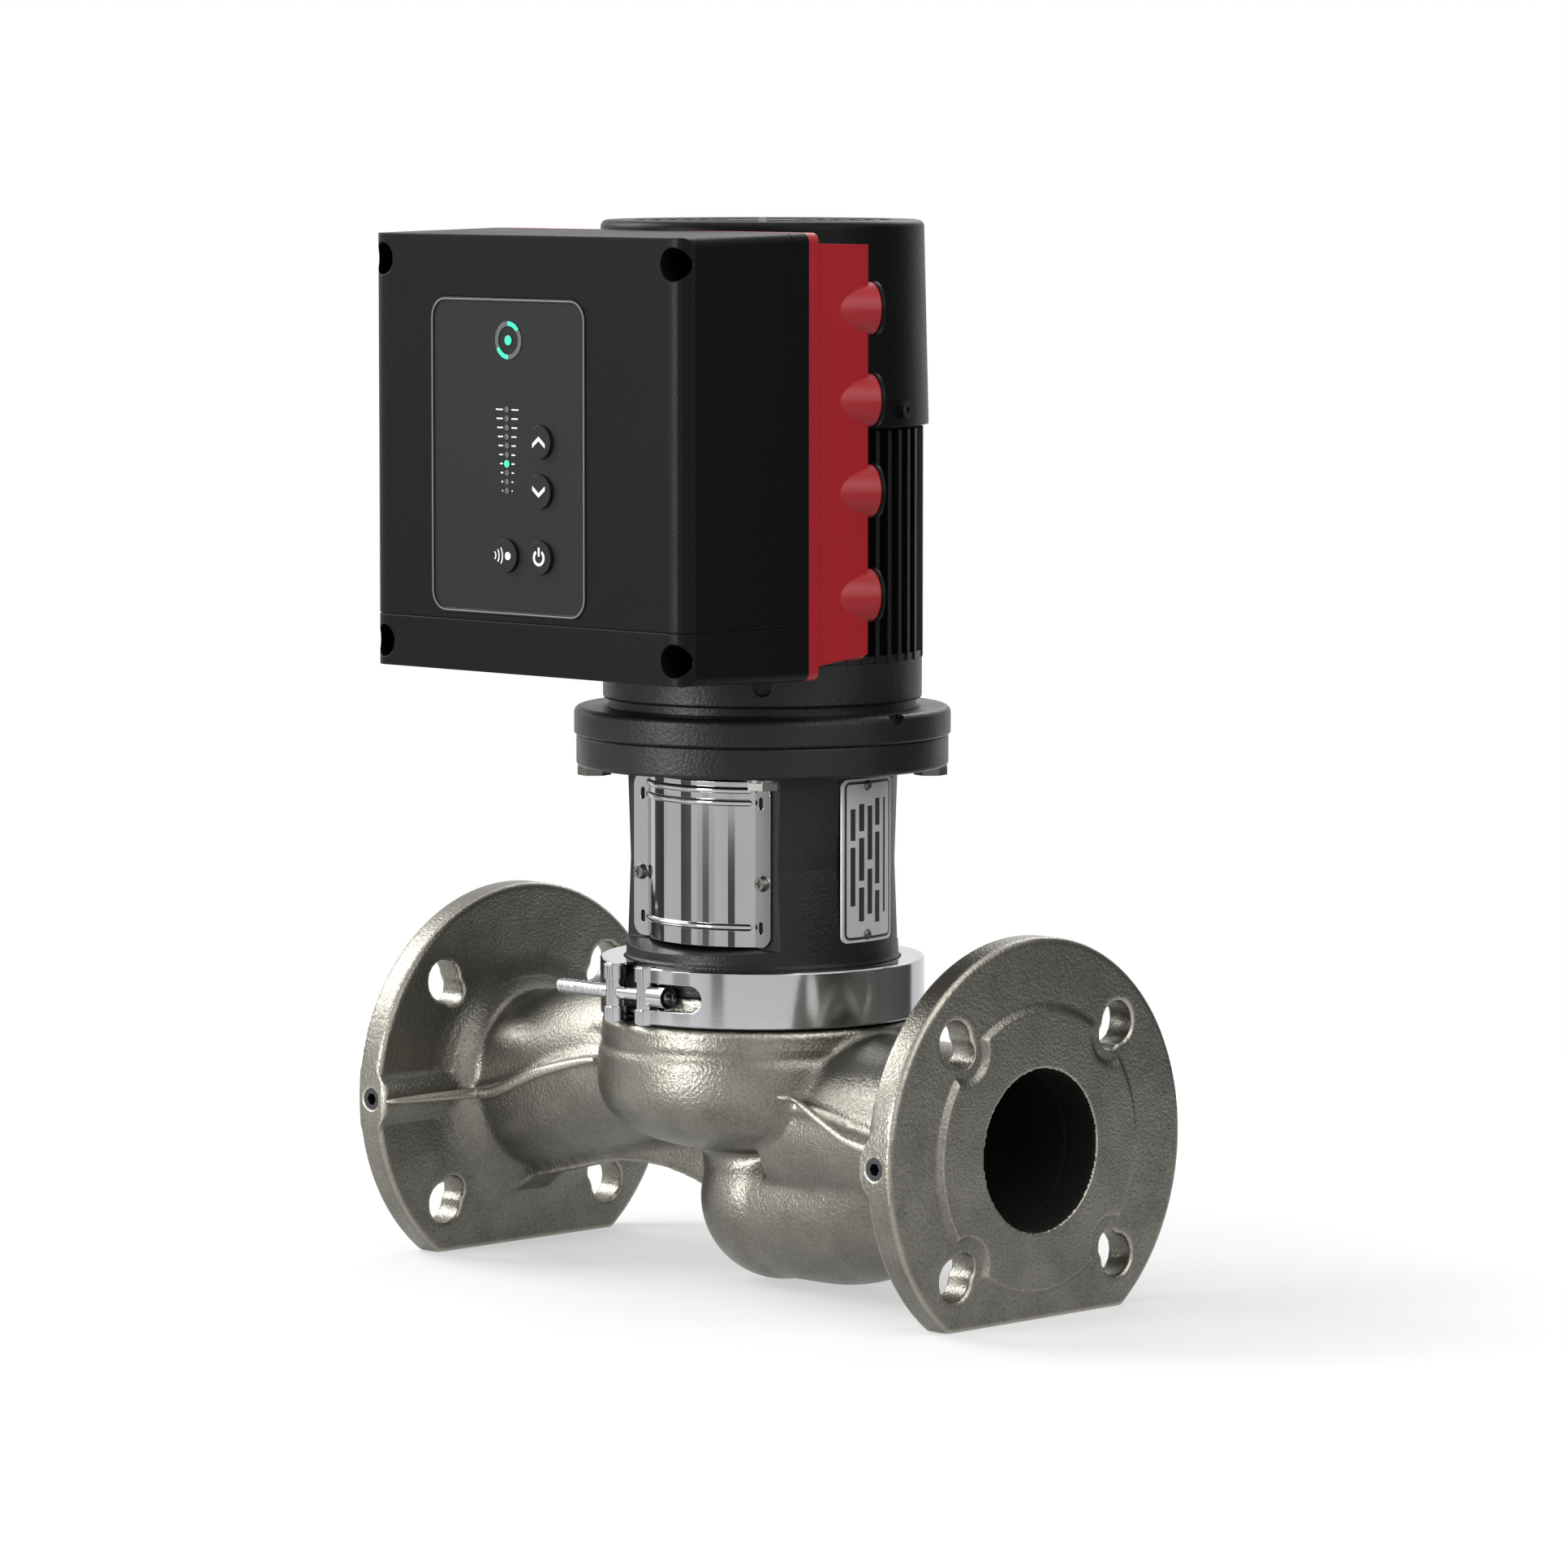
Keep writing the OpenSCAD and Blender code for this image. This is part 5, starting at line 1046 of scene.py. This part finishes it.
@dataclass
class ControlPanel:
    """White signs, level marks and lit parts of the control panel.

    Attributes:
        ink: Thickness of the printed ink, in millimetres.
        line: Width of the drawn lines, in millimetres.
        rows: Number of rows of the level display.
        lit_row: Row of the level display that is lit, counted from the bottom.
    """

    ink: float = 0.06
    line: float = 1.25
    rows: int = 10
    lit_row: int = 3

    def build(self) -> None:
        """Builds the signs on the keys, the level marks and the lit parts."""
        signs: dict[Body, tuple[str, list[list[tuple[float, float]]]]] = {
            Body.UP_KEY: ("up_button", [self._chevron(1)]),
            Body.DOWN_KEY: ("down_button", [self._chevron(-1)]),
            Body.WIRELESS_KEY: ("wireless_button", self._waves()),
            Body.POWER_KEY: ("power_button", self._power()),
        }
        for body, (node, outlines) in signs.items():
            x, _, z = box_middle(node)
            place = facing_front(x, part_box(node)[0].y, z)
            self._print(f"{node}_sign", place, outlines, SCREEN_WHITE, body)
        self._lit_parts()
        self._level_marks()
        self._frame_line()

    def _print(self, name: str, place: Matrix, outlines: Iterable[list[tuple[float, float]]],
               finish: Finish, body: Body) -> None:
        """Prints flat outlines on a face that looks to the front.

        Args:
            name: Name of the piece.
            place: Takes right, up and outward to the frame.
            outlines: Closed outlines in millimetres.
            finish: Finish of the print.
            body: Body that carries it.
        """
        mesh = bmesh.new()
        for outline in outlines:
            prism(mesh, outline, place, self.ink)
        keep_piece(new_piece(name, mesh), finish, body)

    def _chevron(self, way: int) -> list[tuple[float, float]]:
        """Outline of an arrow head that points up for 1 and down for -1."""
        half, rise, thick = 3.9, 3.1, 1.9
        points = [(-half, -rise / 2), (0.0, rise / 2), (half, -rise / 2),
                  (half, -rise / 2 - thick), (0.0, rise / 2 - thick), (-half, -rise / 2 - thick)]
        outline = [(u, way * (v + thick / 2)) for u, v in points]
        return outline if way < 0 else outline[::-1]

    def _waves(self) -> list[list[tuple[float, float]]]:
        """Outlines of three waves and a round dot at their right."""
        dot = [(u + 1.9, v) for u, v in disc_outline(1.75)]
        waves = []
        for radius, spread in ((2.0, 52), (4.1, 40), (6.2, 34)):
            band = arc_band(radius, 0.6, -spread, spread, 12)
            waves.append([(u - 7.6, v) for u, v in band])
        return [dot] + waves

    def _power(self) -> list[list[tuple[float, float]]]:
        """Outlines of the open ring and its bar."""
        bar = [(-0.55, 0.6), (0.55, 0.6), (0.55, 4.4), (-0.55, 4.4)]
        return [arc_band(3.0, self.line, 125, 415), bar]

    def _lit_parts(self) -> None:
        """Lights two arcs and the dot of the status ring and one level dot."""
        low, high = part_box("status_light")
        x, _, z = box_middle("status_light")
        place = facing_front(x, low.y, z)
        radius = (high.z - low.z) / 2 / MM - 1.0
        self._print("status_glow", place, [
            arc_band(radius, 1.9, 38, 92), arc_band(radius, 1.9, 208, 270), disc_outline(2.1)],
            LIGHT_GREEN, Body.PUMP)
        low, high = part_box("level_lights")
        pitch = (high.z - low.z - 2.6 * MM) / (self.rows - 1)
        place = facing_front((low.x + high.x) / 2, low.y, low.z + 1.3 * MM + self.lit_row * pitch)
        self._print("level_glow", place, [disc_outline(1.6)], LIGHT_GREEN, Body.PUMP)

    def _level_marks(self) -> None:
        """Prints the white marks beside the level dots, shorter towards the bottom."""
        low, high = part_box("level_lights")
        tree = ShapeTree("level_marks", {
            "Rows": self.rows, "Pitch": (high.z - low.z - 2.6 * MM) / (self.rows - 1),
            "Gap": 2.7 * MM, "Shortest": 0.6 * MM, "Longest": 4.4 * MM, "Line": 0.6 * MM,
            "Ink": self.ink * MM})
        rise = tree.add("ShaderNodeCombineXYZ", {"Z": tree.given["Pitch"]})[0]
        rows = tree.add("GeometryNodeMeshLine", {"Count": tree.given["Rows"], "Offset": rise},
                        mode="OFFSET")[0]
        last = tree.math("SUBTRACT", tree.given["Rows"], 1.0)
        row = tree.add("GeometryNodeInputIndex")[0]
        length = tree.add("ShaderNodeMapRange", {
            "Value": row, "From Max": last, "To Min": tree.given["Shortest"],
            "To Max": tree.given["Longest"]})[0]
        bar = tree.add("GeometryNodeMeshCube")[0]
        size = tree.add("ShaderNodeCombineXYZ", {
            "X": length, "Y": tree.given["Ink"], "Z": tree.given["Line"]})[0]
        reach = tree.math("ADD", tree.given["Gap"], tree.math("DIVIDE", length, 2.0))
        sides = []
        for way in (-1.0, 1.0):
            shift = tree.add("ShaderNodeCombineXYZ", {"X": tree.math("MULTIPLY", reach, way)})[0]
            places = tree.add("GeometryNodeSetPosition", {"Geometry": rows, "Offset": shift})[0]
            sides.append(tree.add("GeometryNodeInstanceOnPoints", {
                "Points": places, "Instance": bar, "Scale": size})[0])
        both = tree.add("GeometryNodeJoinGeometry")
        for side in sides:
            tree.tree.links.new(side, both[0].node.inputs[0])
        face_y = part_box("control_panel")[0].y + 0.5 * MM
        placed = tree.add("GeometryNodeTransform", {
            "Geometry": both[0], "Translation": ((low.x + high.x) / 2, face_y, low.z + 1.3 * MM)})[0]
        keep_piece(tree.piece(placed, SCREEN_WHITE), SCREEN_WHITE, Body.PUMP)

    def _frame_line(self) -> None:
        """Draws the pale moulded line round the panel."""
        low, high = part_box("control_panel")
        middle_x, middle_z = (low.x + high.x) / 2 / MM, (low.z + high.z) / 2 / MM
        lip = 4.0

        def on_frame(u: float, v: float, h: float) -> Vector:
            return Vector(((middle_x + u) * MM, low.y - h * MM, (middle_z + v) * MM))

        path = rounded_path((high.x - low.x) / MM - lip - 1.6, (high.z - low.z) / MM - lip - 1.6, 8.2)
        mesh = bmesh.new()
        ribbon(mesh, path, 0.6, on_frame, 0.05, closed=True)
        keep_piece(new_piece("panel_frame_line", mesh), FRAME_EDGE, Body.PUMP)


@dataclass
class Studio:
    """Floor, lamps, surroundings and the camera.

    Attributes:
        target: Point that the camera looks at.
        place: Place of the camera.
        lens_mm: Focal length on a sensor 36 mm wide.
        shift: Shift of the lens across and up, as shares of the frame.
        floor_r: Radius of the floor, in metres.
        card_steps: Facets of a card.
        lamp_at: Distance of a lamp from the target, in metres.
        fade_from: Distance round the pump where the floor starts to turn white, in metres.
        fade_to: Distance where it is as white as the background.
        floor_glow: Light that the floor shows the camera by the feet, over what the lamps give.
        ambient: Even light from all round.
    """

    target: tuple[float, float, float] = (-0.170, 0.0, 0.150)
    place: tuple[float, float, float] = (2.16358, -2.33789, 0.45128)
    lens_mm: float = 170.62
    shift: tuple[float, float] = (0.01377, -0.00261)
    floor_r: float = 0.9
    card_steps: int = 12
    lamp_at: float = 2.2
    fade_from: float = 0.2
    fade_to: float = 0.7
    floor_glow: float = 0.5
    ambient: float = 0.3

    def build(self) -> None:
        """Sets the view transform and builds the studio."""
        bpy.context.scene.view_settings.view_transform = "Standard"
        self._camera()
        self._floor()
        self._surroundings()
        self._lamp("key_softbox", azimuth=-68, elevation=33, size=1.25, power=54)
        self._lamp("low_softbox", azimuth=-14, elevation=5.5, size=0.55, power=36)
        self._lamp("side_softbox", azimuth=86, elevation=30, size=1.6, power=24)
        self._lamp("top_softbox", azimuth=40, elevation=80, size=1.2, power=12)
        self._lamp("back_softbox", azimuth=205, elevation=35, size=1.0, power=12)
        # Dark cards give the bright metal its dark streaks, and keep some light off the pump
        self._card("inlet_card", azimuth=141, spread=62, distance=0.72, height=0.7)
        self._card("left_card", azimuth=-80, spread=22, distance=1.15, height=0.16)
        self._card("left_strip", azimuth=-37, spread=10, distance=1.1, height=0.16)
        self._card("front_strip", azimuth=-13, spread=13, distance=1.1, height=0.05)
        self._card("thin_strip", azimuth=14, spread=9, distance=1.1, height=0.03)

    def _card(self, name: str, azimuth: float, spread: float, distance: float, height: float
              ) -> None:
        """Stands a dark curved card round the pump, which the camera doesn't see directly.

        Args:
            name: Name of the card.
            azimuth: Direction of its middle in degrees, 0 in front and 90 at the inlet.
            spread: Angle that it fills, in degrees.
            distance: Distance from the shaft, in metres.
            height: Height of its top over the pipe axis, in metres.
        """
        mesh = bmesh.new()
        columns = []
        for i in range(self.card_steps + 1):
            a = math.radians(azimuth + spread * (i / self.card_steps - 0.5))
            columns.append([mesh.verts.new((SHAFT_X + distance * math.sin(a),
                                            -distance * math.cos(a), z))
                            for z in (CAD_BOX[0].z, height)])
        for near, far in zip(columns, columns[1:]):
            mesh.faces.new((near[0], far[0], far[1], near[1]))
        card = new_piece(name, mesh)
        card.data.materials.append(self._card_paint())
        card.visible_camera = False

    def _card_paint(self) -> bpy.types.Material:
        """Matt dark grey of the cards."""
        made = bpy.data.materials.get("matt_card") or bpy.data.materials.new("matt_card")
        tree = fresh_tree(made)
        matt = add_node(tree, "ShaderNodeBsdfDiffuse", {"Color": linear("#626263")})
        add_node(tree, "ShaderNodeOutputMaterial", {"Surface": matt.outputs[0]})
        return made

    def _camera(self) -> None:
        """Places the camera at the photograph's angle."""
        data = bpy.data.cameras.new("camera")
        data.sensor_width = 36
        data.lens = self.lens_mm
        data.shift_x, data.shift_y = self.shift
        data.clip_end = 50
        camera = new_object("camera", data)
        camera.location = self.place
        look = Vector(self.target) - Vector(self.place)
        camera.rotation_euler = look.to_track_quat("-Z", "Y").to_euler()
        bpy.context.scene.camera = camera

    def _lamp(self, name: str, azimuth: float, elevation: float, size: float, power: float
              ) -> None:
        """Hangs a square softbox towards the pump.

        Args:
            name: Name of the lamp.
            azimuth: Direction round the pump in degrees, 0 in front and 90 at the inlet.
            elevation: Angle over the floor in degrees.
            size: Side of the softbox, in metres.
            power: Power in watts.
        """
        a, e = math.radians(azimuth), math.radians(elevation)
        back = Vector((math.sin(a) * math.cos(e), -math.cos(a) * math.cos(e), math.sin(e)))
        data = bpy.data.lights.new(name, "AREA")
        data.shape = "SQUARE"
        data.size = size
        data.energy = power
        lamp = new_object(name, data)
        lamp.location = Vector(self.target) + back * self.lamp_at
        lamp.rotation_euler = (-back).to_track_quat("-Z", "Y").to_euler()

    def _floor(self) -> None:
        """Lays a plain floor under the feet, which the camera sees as white."""
        mesh = bmesh.new()
        bmesh.ops.create_circle(mesh, cap_ends=True, segments=96, radius=self.floor_r)
        bmesh.ops.translate(mesh, verts=mesh.verts, vec=(SHAFT_X, 0, CAD_BOX[0].z))
        floor = new_piece("studio_floor", mesh)
        made = bpy.data.materials.new("pale_floor")
        tree = fresh_tree(made)
        place = add_node(tree, "ShaderNodeTexCoord").outputs["Object"]
        middle = add_node(tree, "ShaderNodeVectorMath", {0: place, 1: (SHAFT_X, 0.0, CAD_BOX[0].z)},
                          operation="DISTANCE")
        fade = add_node(tree, "ShaderNodeMapRange", {
            "Value": middle.outputs["Value"], "From Min": self.fade_from, "From Max": self.fade_to,
            "To Min": self.floor_glow, "To Max": 1.0}, interpolation_type="SMOOTHSTEP")
        matt = add_node(tree, "ShaderNodeBsdfDiffuse", {"Color": linear("#a3a3a3")})
        strength = add_node(tree, "ShaderNodeMath", {
            0: self._seen(tree), 1: fade.outputs[0]}, operation="MULTIPLY")
        glow = add_node(tree, "ShaderNodeEmission", {"Strength": strength.outputs[0]})
        both = add_node(tree, "ShaderNodeAddShader", {0: matt.outputs[0], 1: glow.outputs[0]})
        add_node(tree, "ShaderNodeOutputMaterial", {"Surface": both.outputs[0]})
        floor.data.materials.append(made)

    def _seen(self, tree: bpy.types.NodeTree) -> bpy.types.NodeSocket:
        """Tells whether the camera, a mirror or a glass looks at the surface."""
        rays = add_node(tree, "ShaderNodeLightPath").outputs
        direct = add_node(tree, "ShaderNodeMath", {0: rays["Is Camera Ray"], 1: rays["Is Glossy Ray"]},
                          operation="MAXIMUM")
        return add_node(tree, "ShaderNodeMath", {0: direct.outputs[0], 1: rays["Is Transmission Ray"]},
                        operation="MAXIMUM").outputs[0]

    def _surroundings(self) -> None:
        """Makes a white background and a plain even light from all round."""
        world = bpy.data.worlds.new("studio")
        bpy.context.scene.world = world
        tree = fresh_tree(world)
        strength = add_node(tree, "ShaderNodeMix", {0: self._seen(tree), 2: self.ambient, 3: 1.0})
        light = add_node(tree, "ShaderNodeBackground", {
            "Color": linear("#ffffff"), "Strength": strength.outputs[0]})
        add_node(tree, "ShaderNodeOutputWorld", {"Surface": light.outputs[0]})


def main() -> None:
    """Builds the studio, dresses the CAD nodes and adds the fine pieces."""
    logging.basicConfig(level=logging.INFO, format="%(message)s")
    Studio().build()
    dress_cad_nodes()
    Casting().build()
    ClampJoint().build()
    Nameplate().build()
    ControlPanel().build()


if __name__ == "__main__":
    main()
